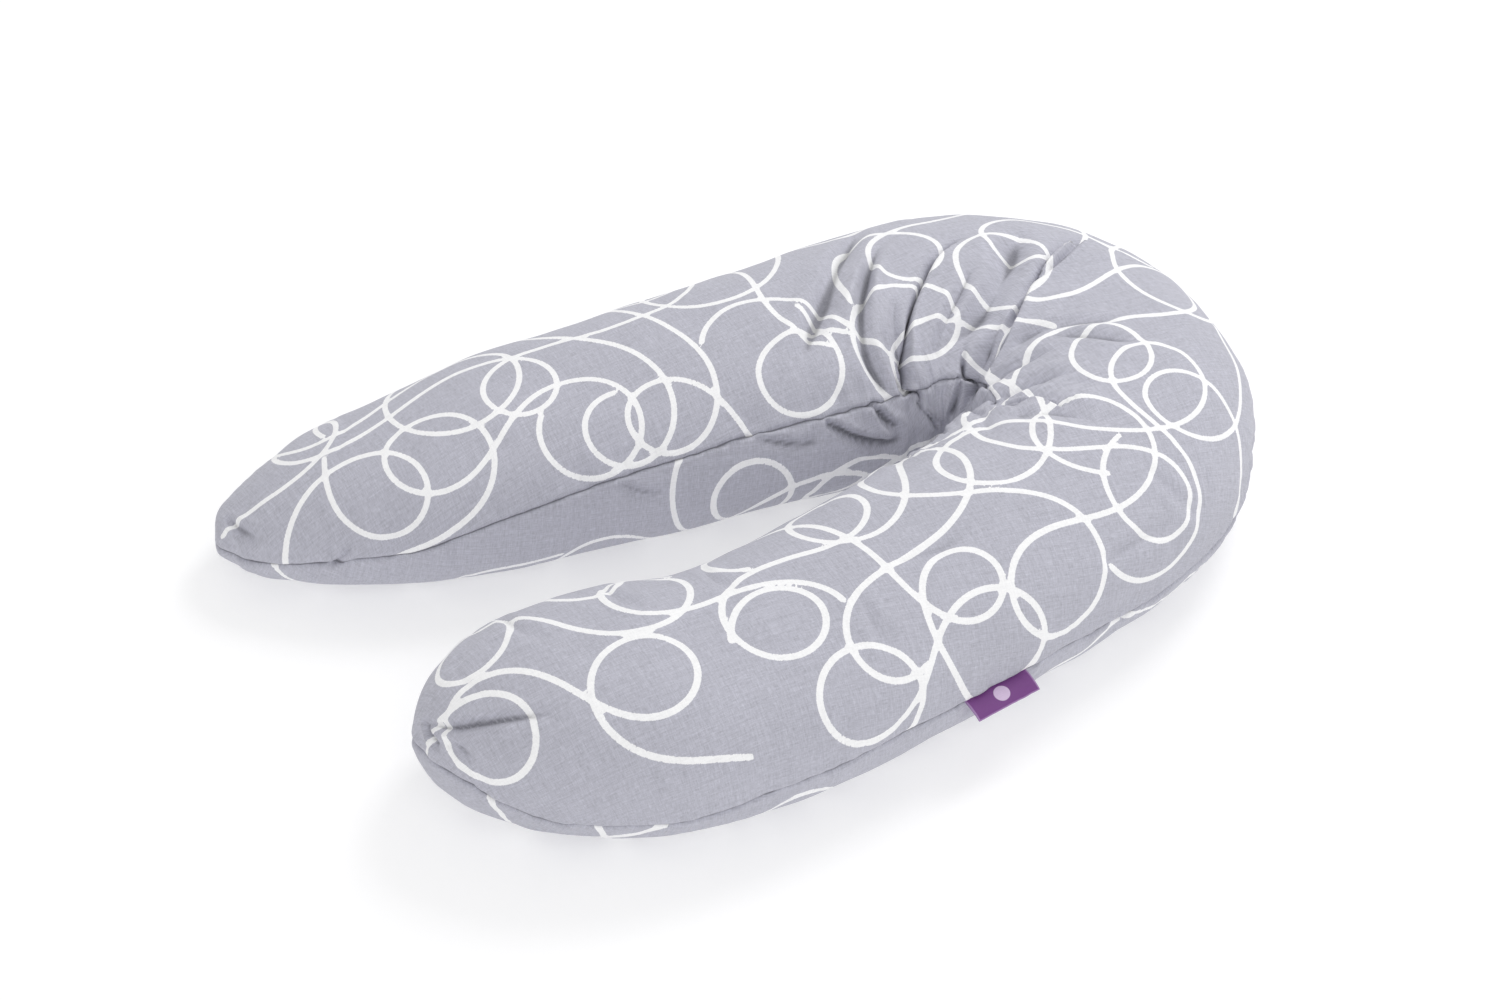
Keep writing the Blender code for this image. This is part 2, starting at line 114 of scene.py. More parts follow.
def spine(form=None):
    """Fine points of the centreline with arc length."""
    f = form or {}
    cp = np.array(f.get("centre", CENTRE), float)
    d = np.r_[0, np.cumsum(np.linalg.norm(np.diff(cp, axis=0), axis=1))]
    pts = cubic(d / d[-1], cp, np.linspace(0, 1, 800))
    L = np.r_[0, np.cumsum(np.linalg.norm(np.diff(pts, axis=0), axis=1))]
    return pts, L


def slices(x, form=None):
    """Outer point, inner point, height, seam height and tip factor of the slices at x, shares of the length."""
    f = form or {}
    pts, L = spine(form)
    tot = L[-1]
    s = np.asarray(x, float) * tot
    P = np.stack([np.interp(s, L, pts[:, i]) for i in (0, 1)], 1)
    e = 0.004
    A = np.stack([np.interp(np.clip(s + e, 0, tot), L, pts[:, i]) for i in (0, 1)], 1)
    B = np.stack([np.interp(np.clip(s - e, 0, tot), L, pts[:, i]) for i in (0, 1)], 1)
    T = A - B
    T /= np.linalg.norm(T, axis=1)[:, None]
    N = np.stack([-T[:, 1], T[:, 0]], 1)
    hw, ht, tl = f.get("half_w", HALF_W), f.get("height", HEIGHT), f.get("tip_len", TIP_LEN)
    w = pchip(np.linspace(0, 1, len(hw)), hw, s / tot)
    h = pchip(np.linspace(0, 1, len(ht)), ht, s / tot)

    def tip(d, lt, q):
        u = np.clip(d / lt, 0, 1)
        return np.clip(1 - (1 - u) ** 2, 0, 1) ** q

    fw = tip(s, tl[0], 0.5) * tip(tot - s, tl[1], 0.5)
    fh = tip(s, tl[0], 0.42) * tip(tot - s, tl[1], 0.42)
    O = P + N * (w * fw)[:, None]
    I = P - N * (w * fw)[:, None]
    # inner ends gather round the crook
    K, r = np.array(f.get("crook", CROOK), float), f.get("crook_r", CROOK_R)
    a, b = f.get("crook_s", CROOK_S)
    xs = s / tot
    u = np.clip((xs - a) / (b - a), 0, 1)
    ang = np.radians(112 - 254 * u)
    C = K + r * np.stack([np.cos(ang), np.sin(ang)], 1)
    m = (smooth(xs, a - 0.045, a + 0.012) * (1 - smooth(xs, b - 0.012, b + 0.045)))[:, None]
    I = I * (1 - m) + C * m
    lift = f.get("tip_lift", TIP_LIFT)
    zc_full = f.get("seam_z", SEAM_Z) * h
    zc = zc_full * (lift + (1 - lift) * fh)
    up = (h - zc_full) * fh
    down = np.minimum(zc_full * fh, zc)
    return dict(O=O, I=I, zc=zc, up=up, down=down, s=s, tot=tot, f=fh, P=P, N=N, w=w * fw, h=h)


SIDE_POW, TOP_POW, BASE_POW = 0.90, 0.95, 0.70


def loft(sl, t):
    """Points of every slice at section angles t (n slices, m angles)."""
    t = np.broadcast_to(t, (len(sl["s"]), np.shape(t)[-1]))
    c, s = np.cos(t), np.sin(t)
    mid, half = (sl["O"] + sl["I"]) / 2, (sl["O"] - sl["I"]) / 2
    ac = np.sign(c) * np.abs(c) ** SIDE_POW
    z = np.where(s > 0, sl["zc"][:, None] + sl["up"][:, None] * np.abs(s) ** TOP_POW,
                 sl["zc"][:, None] - sl["down"][:, None] * np.abs(s) ** BASE_POW)
    xy = mid[:, None, :] + half[:, None, :] * ac[:, :, None]
    return np.concatenate([xy, z[:, :, None]], 2)

# ------------------------------------------------------------------ camera
LENS = 100.0
AZ, EL, DIST = math.radians(-27), math.radians(40), 3.3108
AIM = np.array([-0.0237, 0.0298, 0.0651])
back_dir = np.array([math.sin(AZ) * math.cos(EL), -math.cos(AZ) * math.cos(EL), math.sin(EL)])
CAM_AT = AIM + back_dir * DIST
cam_f = -back_dir
cam_r = np.cross(cam_f, [0, 0, 1.0]); cam_r /= np.linalg.norm(cam_r)
cam_u = np.cross(cam_r, cam_f)
FPX = LENS / 36 * 1500


def project(P):
    """Picture place (1500 x 1000) and distance of points."""
    d = np.asarray(P) - CAM_AT
    z = d @ cam_f
    return 750 + FPX * (d @ cam_r) / z, 500 - FPX * (d @ cam_u) / z, z


cam_data = bpy.data.cameras.new("camera")
cam_data.lens = LENS
cam_data.sensor_width = 36
cam_data.clip_end = 50
camera = bpy.data.objects.new("camera", cam_data)
bpy.context.scene.collection.objects.link(camera)
camera.matrix_world = Matrix((
    (cam_r[0], cam_u[0], back_dir[0], CAM_AT[0]),
    (cam_r[1], cam_u[1], back_dir[1], CAM_AT[1]),
    (cam_r[2], cam_u[2], back_dir[2], CAM_AT[2]),
    (0, 0, 0, 1)))
bpy.context.scene.camera = camera


# ------------------------------------------------------------------ grid of the cover
# Slices run along the tube, columns run round it. Column 0 is the outer seam, column HALF
# the inner seam. Slices crowd in the bend and at the folds, columns crowd at the seams.
NU = 860
PER_HALF = 92
SEAM_COLS = [0.0, 0.0009, 0.0021, 0.0042]      # metres from a seam, before the even columns start

grid_q = np.linspace(0, 1, 4001)
density = (1.0 + 1.60 * smooth(grid_q, .30, .38) * (1 - smooth(grid_q, .62, .70))
           + 0.8 * np.exp(-(grid_q / .012) ** 2) + 0.8 * np.exp(-((1 - grid_q) / .012) ** 2))
cum = np.r_[0, np.cumsum((density[1:] + density[:-1]) / 2)]
X_SHARE = np.interp(np.linspace(0, cum[-1], NU + 1), cum, grid_q)
SL = slices(X_SHARE)
MID = int(np.argmin(np.abs(X_SHARE - 0.5)))

roll_in = np.radians(pchip([0, .020, .060, .090, .115, .140, .165, .195, .240, .275, .320, .355, .40, .50, .60, .66, .76, .86, 1],
                           [0, 0, 4, 5, 11, 16, 20, 23, 24.5, 26.5, 26, 26, 28, 34, 42, 38, 16, 4, 0], X_SHARE))
roll_out = np.radians(pchip([0, .1, .5, .60, .64, .69, .745, .80, .85, .89, .925, .955, .975, 1],
                            [0, 0, 0, -6, -7, -3.5, -3.5, -1.5, -4, -10, -10, -2, 3, 4], X_SHARE))


def columns(sl, r_in, r_out):
    """Section angles so that the columns lie evenly along the fabric from seam to seam."""
    n = len(sl["s"])
    fine = 400
    out = []
    arcs = []
    for part in (0, 1):        # upper panel, lower panel
        lo = r_out if part == 0 else math.pi - r_in
        hi = math.pi - r_in if part == 0 else 2 * math.pi + r_out
        t = lo[:, None] + (hi - lo)[:, None] * np.linspace(0, 1, fine)[None, :]
        P = loft(sl, t)
        L = np.concatenate([np.zeros((n, 1)), np.cumsum(np.linalg.norm(np.diff(P, axis=1), axis=2), axis=1)], 1)
        ang = np.zeros((n, PER_HALF))
        arc = np.zeros((n, PER_HALF))
        for i in range(n):
            tot = max(L[i, -1], 1e-6)
            k = min(1.0, tot / 0.06)
            near = [c * k for c in SEAM_COLS]
            inner = np.linspace(near[-1], tot - near[-1], PER_HALF + 1 - 2 * (len(near) - 1))
            at = np.r_[near[:-1], inner, [tot - c for c in near[:-1][::-1]]]
            tt = np.interp(at, L[i], t[i])
            ang[i] = tt[:PER_HALF]
            arc[i] = at[:PER_HALF]
        out.append(ang)
        arcs.append((arc, L[:, -1]))
    return np.concatenate(out, 1), arcs


ANG, ARCS = columns(SL, roll_in, roll_out)
T0 = loft(SL, ANG)
NV = 2 * PER_HALF
HALF = PER_HALF


def grid_normals(P):
    """Unit normals that point out of the tube."""
    du = np.empty_like(P)
    du[1:-1] = P[2:] - P[:-2]
    du[0], du[-1] = P[1] - P[0], P[-1] - P[-2]
    dv = np.roll(P, -1, 1) - np.roll(P, 1, 1)
    n = np.cross(dv, du)
    length = np.linalg.norm(n, axis=2)
    n = n / np.maximum(length, 1e-12)[:, :, None]
    n[0] = n[1].mean(0) / np.linalg.norm(n[1].mean(0))
    n[-1] = n[-2].mean(0) / np.linalg.norm(n[-2].mean(0))
    return n


N0 = grid_normals(T0)
centre0 = T0.mean(axis=1, keepdims=True)
if ((T0 - centre0) * N0).sum(2).mean() < 0:
    N0 = -N0
    FLIP = True
else:
    FLIP = False


def normals(P):
    n = grid_normals(P)
    return -n if FLIP else n


# the outer seam of the back arm runs straight where the zip is sewn in
ZIP_A, ZIP_B = np.array([-0.293, 0.2665, 0.0500]), np.array([0.0, 0.2581, 0.0711])
ZIP_X0, ZIP_X1 = -0.286, -0.046


def seam_line(x):
    return ZIP_A + (ZIP_B - ZIP_A) * ((np.asarray(x, float) - ZIP_A[0]) / (ZIP_B[0] - ZIP_A[0]))[..., None]


half_way = NU // 2
edge = T0[:, 0].copy()
to_line = seam_line(edge[:, 0]) - edge
to_line[:, 0] = 0
near_zip = smooth(edge[:, 0], ZIP_X0 - 0.055, ZIP_X0 - 0.004) * (1 - smooth(edge[:, 0], ZIP_X1 + 0.004, ZIP_X1 + 0.075))
near_zip[half_way:] = 0
from_edge = np.linalg.norm(T0 - edge[:, None, :], axis=2)
T0 = T0 + to_line[:, None, :] * (near_zip[:, None] * np.exp(-(from_edge / 0.055) ** 2))[:, :, None]
T0[:, :, 2] = np.maximum(T0[:, :, 2], 0.0)
N0 = normals(T0)
ZIP_HOLD = near_zip[:, None] * np.exp(-(from_edge / 0.024) ** 2)

U_LEN = np.concatenate([np.zeros((1, NV)), np.cumsum(np.linalg.norm(np.diff(T0, axis=0), axis=2), axis=0)], 0)
TAN = np.gradient(T0, axis=0)
TAN /= np.maximum(np.linalg.norm(TAN, axis=2), 1e-9)[:, :, None]
px, py, pz = project(T0)
facing = ((CAM_AT - T0) * N0).sum(2) > 0


def on_surface(points):
    """(slice, column) of the seen grid point nearest each picture point."""
    fi, fj = np.nonzero(facing)
    X, Y, Z = px[fi, fj], py[fi, fj], pz[fi, fj]
    found = []
    for a, b in points:
        d = (X - a) ** 2 + (Y - b) ** 2
        near = np.nonzero(d < max(16.0, d.min() * 2.25))[0]
        front = near[Z[near] < Z[near].min() + 0.03]
        k = front[np.argmin(d[front])]
        found.append((fi[k], fj[k]))
    return found


def dense(points, step):
    """A smooth line through the points, read every step."""
    p = np.array(points, float)
    d = np.r_[0, np.cumsum(np.linalg.norm(np.diff(p, axis=0), axis=1))]
    n = max(2, int(d[-1] / step) + 1)
    q = np.linspace(0, d[-1], n)
    if len(p) < 4:
        return np.stack([np.interp(q, d, p[:, i]) for i in range(p.shape[1])], 1)
    return cubic(d, p, q)


def ripple(P, scale, seed):
    """Smooth noise, about -1 to 1, at points."""
    flat = P.reshape(-1, 3) / scale
    out = np.fromiter((noise.noise(Vector((p[0] + seed * 7.3, p[1] - seed * 3.1, p[2] + seed))) for p in flat),
                      float, len(flat))
    return out.reshape(P.shape[:2])


# ------------------------------------------------------------------ folds
# Lines in the picture plane where the fabric folds. kind "lap": the side toward the front
# arm (side 1) or the back arm (side -1) lies over the other. kind "dip": a soft valley.
FOLDS = [
    ("lap", 1, .0145, .0085, .0065, [(1092, 241), (1072, 254), (1052, 271), (1032, 291), (1014, 314), (1000, 337), (988, 363), (977, 387), (962, 407), (948, 439)]),
    ("lap", 1, .0120, .0070, .0040, [(951, 245), (933, 265), (919, 298), (911, 335), (911, 363), (919, 392), (924, 410)]),
    ("lap", 1, .0105, .0060, .0035, [(1066, 402), (1040, 402), (1014, 405), (990, 414), (968, 430)]),
    ("lap", -1, .0095, .0050, .0025, [(958, 352), (962, 372), (958, 396), (949, 422)]),
    ("dip", 0, .0120, .0130, 0, [(1019, 237), (1006, 268), (990, 298), (974, 322), (958, 342)]),
    ("dip", 0, .0110, .0060, 0, [(1000, 322), (986, 348), (970, 384), (950, 420)]),
    ("dip", 0, .0085, .0110, 0, [(852, 236), (834, 272), (820, 308), (812, 335), (806, 356)]),
    ("dip", 0, .0095, .0060, 0, [(876, 250), (864, 286), (861, 318), (866, 350), (882, 384)]),
    ("dip", 0, .0100, .0058, 0, [(896, 300), (898, 334), (904, 362), (916, 394)]),
    ("dip", 0, .0080, .0048, 0, [(885, 330), (890, 356), (900, 380), (914, 402)]),
    ("dip", 0, .0070, .0050, 0, [(936, 256), (926, 276), (918, 296)]),
    ("dip", 0, .0060, .0055, 0, [(975, 262), (962, 290), (948, 318), (940, 340)]),
    ("dip", 0, .0048, .0052, 0, [(1120, 318), (1083, 321), (1050, 328), (1012, 350)]),
    ("dip", 0, .0036, .0060, 0, [(1142, 338), (1100, 336), (1070, 334), (1028, 346)]),
    ("dip", 0, .0060, .0110, 0, [(1110, 418), (1078, 414), (1050, 410), (1010, 420)]),
    ("dip", 0, .0060, .0060, 0, [(1068, 372), (1040, 380), (1005, 394), (975, 412)]),
    ("dip", 0, .0056, .0045, 0, [(1046, 352), (1020, 366), (994, 384), (966, 408)]),
]
# lines of any direction where the cloth is pinched: depth, half width, places
PINCHES = [
    (.0052, .0045, [(429, 722), (446, 728), (474, 724), (512, 717), (556, 712)]),
    (.0050, .0040, [(425, 722), (430, 734), (440, 748)]),
    (.0030, .0045, [(452, 742), (462, 752), (470, 764)]),
    (.0032, .0030, [(330, 566), (338, 560), (352, 550)]),
    (.0070, .0026, [(1090, 243), (1070, 256), (1050, 273), (1030, 294), (1012, 316), (998, 340), (986, 366), (974, 392)]),
    (.0055, .0024, [(950, 247), (932, 267), (917, 300), (909, 336), (909, 364), (916, 392)]),
    (.0045, .0024, [(914, 400), (930, 418), (946, 436)]),
    (.0040, .0026, [(961, 366), (958, 392), (948, 424)]),
    (.0040, .0026, [(1060, 404), (1036, 400), (1008, 404), (984, 416)]),
    (.0030, .0050, [(228, 520), (240, 530), (262, 540)]),
    (.0022, .0060, [(500, 616), (520, 630), (548, 640)]),
    (.0022, .0060, [(604, 588), (622, 600), (644, 606)]),
    (.0020, .0060, [(700, 566), (716, 580), (734, 590)]),
    (.0085, .0050, [(828, 424), (850, 436), (878, 444), (904, 438)]),
    (.0040, .0050, [(760, 440), (790, 446), (822, 444)]),
    (.0075, .0042, [(872, 404), (884, 420), (900, 434)]),
    (.0030, .0040, [(620, 484), (640, 492), (668, 494)]),
    (.0024, .0070, [(1108, 560), (1140, 540), (1168, 528)]),
    (.0022, .0080, [(1150, 470), (1180, 500), (1206, 520)]),
    (.0020, .0070, [(860, 600), (880, 630), (896, 650)]),
    (.0020, .0080, [(900, 560), (940, 548), (972, 528)]),
]


def fold_shape(T, N):
    """Moves of every grid point for the folds."""
    move = np.zeros_like(T)
    js = np.arange(NV)
    for kind, side, high, wide, over, line in FOLDS:
        pts = dense(line, 6.0)
        spots = on_surface(pts)
        order = sorted(range(len(spots)), key=lambda k: spots[k][1])
        jj = np.array([spots[k][1] for k in order], float)
        uu = np.array([U_LEN[spots[k][0], spots[k][1]] / U_LEN[-1, spots[k][1]] for k in order])
        # one value for each column, evened out
        cols = np.unique(jj)
        vals = np.array([uu[jj == c].mean() for c in cols])
        if len(cols) < 3:
            continue
        deg = 3 if len(cols) > 6 else 2
        co = np.polyfit((cols - cols.mean()) / 20, vals, deg)
        lo, hi = cols.min(), cols.max()
        full = np.polyval(co, (np.clip(js, lo - 4, hi + 4) - cols.mean()) / 20)
        ends = 10.0
        fade = smooth(js, lo - ends * 0.5, lo + ends) * (1 - smooth(js, hi - ends, hi + ends * 0.5))
        d = (U_LEN / U_LEN[-1] - full[None, :]) * U_LEN[-1][None, :]
        wave = 1 + 0.25 * np.sin(js * 0.21 + high * 900)
        f = fade[None, :] * wave[None, :]
        if kind == "dip":
            h = -0.5 * high * (np.exp(-(d / wide) ** 2) + np.exp(-np.abs(d) / (0.6 * wide))) + 0.26 * high * (np.exp(-((d - 1.9 * wide) / wide) ** 2)
                                                                + np.exp(-((d + 1.9 * wide) / wide) ** 2))
            move += N * (h * f)[:, :, None]
        else:
            e = d * side
            step = 1 / (1 + np.exp(-np.clip(e / 0.0007, -40, 40)))
            h = high * 0.30 * step * np.exp(-np.maximum(e, 0) / (wide * 1.8)) - high * 1.05 * (1 - step) * np.exp(-np.maximum(-e, 0) / wide)
            h += 0.18 * high * np.exp(-((e - 2.6 * wide) / (1.4 * wide)) ** 2)
            h -= 0.70 * high * np.exp(-((e + 0.0017) / 0.0021) ** 2)
            t = -side * over * step * np.exp(-np.maximum(e, 0) / (wide * 0.9))
            move += N * (h * f)[:, :, None] + TAN * (t * f)[:, :, None]
    return move


# ------------------------------------------------------------------ cloth
def relax(T, eu, ev, keep, stiff, steps, push=0.0, shake=None):
    """Cloth on the grid: threads keep their rest length, bending is resisted, and the fill holds it near T.

    eu, ev: spare length along and round the tube, as shares. keep: pull of the fill. stiff: resistance to bending."""
    Lu = np.linalg.norm(np.diff(T, axis=0), axis=2) * (1 + (eu[1:] + eu[:-1]) / 2)
    Lv = np.linalg.norm(np.roll(T, -1, 1) - T, axis=2) * (1 + ev)
    e2 = (eu + ev) / 2
    d1 = np.linalg.norm(np.roll(T, -1, 1)[1:] - T[:-1], axis=2) * (1 + e2[:-1])
    d2 = np.linalg.norm(np.roll(T, -1, 1)[:-1] - T[1:], axis=2) * (1 + e2[:-1])
    X = T.copy()
    if shake is not None:
        X += shake

    def fix(a, b, rest, k):
        d = b - a
        length = np.sqrt((d * d).sum(2))
        c = d * ((1 - rest / np.maximum(length, 1e-9)) * 0.5 * k)[:, :, None]
        return c

    m = X.shape[1]
    for it in range(steps):
        for p in (0, 1):
            c = fix(X[p:-1:2], X[p + 1::2][: len(X[p:-1:2])], Lu[p::2], 0.9)
            X[p:-1:2] += c
            X[p + 1::2][: len(c)] -= c
        for p in (0, 1):
            a = np.arange(p, m, 2)
            b = (a + 1) % m
            c = fix(X[:, a], X[:, b], Lv[:, a], 0.9)
            X[:, a] += c
            X[:, b] -= c
        for p in (0, 1):
            a = np.arange(p, m, 2)
            b = (a + 1) % m
            c = fix(X[:-1][:, a], X[1:][:, b], d1[:, a], 0.22)
            tmp = X[:-1]; tmp[:, a] += c
            tmp = X[1:]; tmp[:, b] -= c
            c = fix(X[1:][:, a], X[:-1][:, b], d2[:, a], 0.22)
            tmp = X[1:]; tmp[:, a] += c
            tmp = X[:-1]; tmp[:, b] -= c
        D = X - T
        lap = np.zeros_like(D)
        lap[1:-1] = D[2:] + D[:-2] - 2 * D[1:-1]
        lap += np.roll(D, 1, 1) + np.roll(D, -1, 1) - 2 * D
        bi = np.zeros_like(D)
        bi[1:-1] = lap[2:] + lap[:-2] - 2 * lap[1:-1]
        bi += np.roll(lap, 1, 1) + np.roll(lap, -1, 1) - 2 * lap
        D -= stiff * bi
        D *= (1 - keep)[:, :, None]
        D[0] = 0; D[-1] = 0
        X = T + D
        np.maximum(X[:, :, 2], 0.0008, out=X[:, :, 2])
    return X


def widths_from_seams():
    """Length of fabric from the nearest seam, and from the first seam of its panel, at every grid point."""
    first = np.concatenate([ARCS[0][0], ARCS[1][0]], 1)
    total = np.concatenate([np.repeat(ARCS[0][1][:, None], HALF, 1), np.repeat(ARCS[1][1][:, None], HALF, 1)], 1)
    return np.minimum(first, total - first), first, total


SEAM_D, FIRST_D, GIRTH = widths_from_seams()
crook_d = np.linalg.norm(T0[:, :, :2] - np.array(CROOK), axis=2)
cell_u = np.linalg.norm(np.gradient(T0, axis=0), axis=2)
tip_d = np.minimum(SL["s"], SL["tot"] - SL["s"])[:, None]



def crease(n, w):
    """Sharp valleys with rounded shoulders where the noise n crosses zero."""
    return -np.exp(-(n / w) ** 2) + 0.40 * np.exp(-((np.abs(n) - 2.4 * w) / (1.3 * w)) ** 2)


T0_TREE = bvhtree.BVHTree.FromPolygons(
    [tuple(p) for p in T0.reshape(-1, 3)],
    [(i * NV + j, (i + 1) * NV + j, (i + 1) * NV + (j + 1) % NV, i * NV + (j + 1) % NV) for i in range(NU) for j in range(NV)])


def lay_on(points):
    """Picture points laid on the unfolded form: their places, and the slice and column of each."""
    places, spots = [], []
    for q, ij in zip(points, on_surface(points)):
        ray = cam_f + cam_r * ((q[0] - 750) / FPX) - cam_u * ((q[1] - 500) / FPX)
        hit = T0_TREE.ray_cast(Vector(CAM_AT), Vector(ray).normalized())
        if hit[0] is None or np.linalg.norm(np.array(hit[0]) - T0[ij]) > 0.03:
            places.append(T0[ij])
            spots.append(ij)
        else:
            places.append(np.array(hit[0]))
            spots.append((hit[2] // NV, hit[2] % NV))
    P = np.array(places)
    for _ in range(2):
        if len(P) > 4:
            P[1:-1] = (P[:-2] + 2 * P[1:-1] + P[2:]) / 4
    return P, spots


def pinch_shape():
    """Moves for the pinched lines."""
    h = np.zeros(T0.shape[:2])
    for deep, wide, line in PINCHES:
        P = dense(lay_on(dense(line, 3.0))[0], 0.0012)
        tree = kdtree.KDTree(len(P))
        for k, c in enumerate(P):
            tree.insert(c, k)
        tree.balance()
        box_lo, box_hi = P.min(0) - 5 * wide, P.max(0) + 5 * wide
        for i, j in zip(*np.nonzero(((T0 > box_lo) & (T0 < box_hi)).all(2))):
            _, k, d = tree.find(T0[i, j])
            t = k / max(1, len(P) - 1)
            w = wide * (0.55 + 0.45 * t)
            f = math.sin(math.pi * min(1.0, 0.12 + 0.88 * t)) ** 0.6 if t < 1 else 0.0
            h[i, j] += deep * f * (-math.exp(-(d / w) ** 2) + 0.35 * math.exp(-((d - 2.1 * w) / (1.1 * w)) ** 2))
    return h


T1 = T0 + fold_shape(T0, N0) + N0 * pinch_shape()[:, :, None]
# creases that run out from the crook
ang = np.arctan2(T0[:, :, 1] - CROOK[1], T0[:, :, 0] - CROOK[0])
far = crook_d + 0.35 * T0[:, :, 2]


def spoke(scale, seed, twist):
    turn = ang + twist * ripple(T0, 0.07, seed + 40)
    return ripple(np.stack([np.cos(turn) * 0.055, np.sin(turn) * 0.055, far * 0.20], 2), scale, seed)


open_side = 1 - smooth(np.abs(np.abs(ang) - math.pi), 0.75, 0.15)
wide_spokes = crease(spoke(0.021, 3, 0.10), 0.20) * (0.45 + 0.55 * smooth(ripple(T0, 0.05, 33), -0.3, 0.5)) * np.exp(-(far / 0.135) ** 2) * smooth(crook_d, 0.010, 0.040)
fine_spokes = crease(spoke(0.0105, 8, 0.16), 0.22) * smooth(ripple(T0, 0.035, 34), -0.4, 0.4) * np.exp(-(far / 0.095) ** 2) * smooth(crook_d, 0.008, 0.030)
T1 += N0 * ((wide_spokes * 0.0056 + fine_spokes * 0.0012) * open_side)[:, :, None]
# short puckers beside the seams, where one panel is eased onto the other
across = np.stack([U_LEN, SEAM_D * 0.45, np.where(np.arange(NV) < HALF, 0.0, 0.5)[None, :] + 0 * SEAM_D], 2)
off_seam = np.exp(-(SEAM_D / 0.026) ** 2) * smooth(SEAM_D, 0.0, 0.004)
ease = 0.35 + 0.65 * smooth(ripple(T0, 0.09, 35), -0.35, 0.35)
puckers = (ripple(across, 0.019, 14) * 0.0013 + crease(ripple(across, 0.013, 15), 0.22) * 0.0008) * off_seam * ease
T1 += N0 * (puckers * smooth(tip_d, 0.0, 0.03) * (1 - ZIP_HOLD))[:, :, None]
# the fill settles unevenly: long shallow dents, and a few slack creases
dents = ripple(T0, 0.080, 1) * 0.0026 + ripple(T0, 0.036, 2) * 0.0010
slack = crease(ripple(T0 * np.array([1.0, 0.7, 1.0]), 0.060, 31), 0.075) * smooth(ripple(T0, 0.070, 32), 0.0, 0.45) * 0.0005
T1 += N0 * ((dents + slack) * smooth(tip_d, 0.0, 0.05) * (1 - 0.9 * ZIP_HOLD))[:, :, None]
T1[:, :, 2] = np.maximum(T1[:, :, 2], 0.0006)

at_seam = np.exp(-(SEAM_D / 0.0015) ** 2)
beside = np.exp(-(SEAM_D / 0.020) ** 2) * (1 - at_seam)
wander = 0.5 + 0.5 * ripple(T0, 0.06, 5)
spare_u = (0.004 + 0.090 * np.exp(-(crook_d / 0.12) ** 2) + 0.040 * np.exp(-(tip_d / 0.06) ** 2) + beside * (0.022 + 0.030 * wander)) * smooth(cell_u, 0.0009, 0.0022) - 0.010 * at_seam
spare_v = 0.004 + 0.030 * np.exp(-(tip_d / 0.05) ** 2) + 0.020 * np.exp(-(crook_d / 0.12) ** 2)
spare_u = spare_u * (1 - 0.85 * ZIP_HOLD)
spare_v = spare_v * (1 - 0.85 * ZIP_HOLD)
HOLD = 0.0055 - 0.0035 * np.exp(-(crook_d / 0.12) ** 2) + 0.25 * ZIP_HOLD

shake = N0 * (ripple(T0, 0.018, 11) * 0.0006 + ripple(T0, 0.0090, 12) * 0.0003)[:, :, None]
Tc = T1[::2, ::2]
Xc = relax(Tc, spare_u[::2, ::2], spare_v[::2, ::2], HOLD[::2, ::2], 0.016, 160, shake=shake[::2, ::2])
Dc = Xc - Tc

def finer(D, n, m):
    """Moves on the coarse grid read on the fine one."""
    rows = np.arange(n) / 2.0
    i0 = np.minimum(rows.astype(int), D.shape[0] - 1)
    i1 = np.minimum(i0 + 1, D.shape[0] - 1)
    f = (rows - i0)[:, None, None]
    E = D[i0] * (1 - f) + D[i1] * f
    cols = np.arange(m) / 2.0
    j0 = cols.astype(int) % D.shape[1]
    j1 = (j0 + 1) % D.shape[1]
    g = (cols - cols.astype(int))[None, :, None]
    return E[:, j0] * (1 - g) + E[:, j1] * g

D0 = finer(Dc, NU + 1, NV)
X = relax(T1, spare_u * 0.9, spare_v * 0.9, HOLD + 0.004, 0.020, 110, shake=D0 + shake * 0.5)

# seams: the two panels are sewn from inside, so each seam is a narrow groove between two rolls
NX = normals(X)
pull = 0.75 + 0.35 * ripple(T0, 0.006, 21)
groove = (-0.0036 * np.exp(-(SEAM_D / 0.0011) ** 2) * pull + 0.00075 * np.exp(-((SEAM_D - 0.0048) / 0.0030) ** 2)) * smooth(tip_d, 0.0005, 0.006) * (1 - 0.8 * ZIP_HOLD)
X += NX * groove[:, :, None]
X[:, :, 2] = np.maximum(X[:, :, 2], 0.0004)
NX = normals(X)

# how deep each place lies below the cloth around it; the cloth material darkens its colour there as painted shade in
# the creases
around = X.copy()
for _ in range(24):
    around[1:-1] = (around[:-2] + around[2:] + np.roll(around, 1, 1)[1:-1] + np.roll(around, -1, 1)[1:-1]) / 4
CREASE_PAINTED_SHADE = np.clip(-((X - around) * NX).sum(2) / 0.0031, 0, 1) * smooth(SEAM_D, 0.003, 0.009)


# ------------------------------------------------------------------ print
# Loose looped lines, walked over each panel (0 upper, 1 lower) of the unfolded form.
STROKE = 0.00275         # half the width of a printed line


def along(i, j):
    """Point of the unfolded form at a broken slice and column."""
    i = min(max(i, 0.0), NU - 1e-6)
    i0, j0 = int(i), int(math.floor(j))
    f, g = i - i0, j - j0
    a, b = j0 % NV, (j0 + 1) % NV
    return (T0[i0, a] * (1 - f) * (1 - g) + T0[i0 + 1, a] * f * (1 - g) + T0[i0, b] * (1 - f) * g + T0[i0 + 1, b] * f * g)


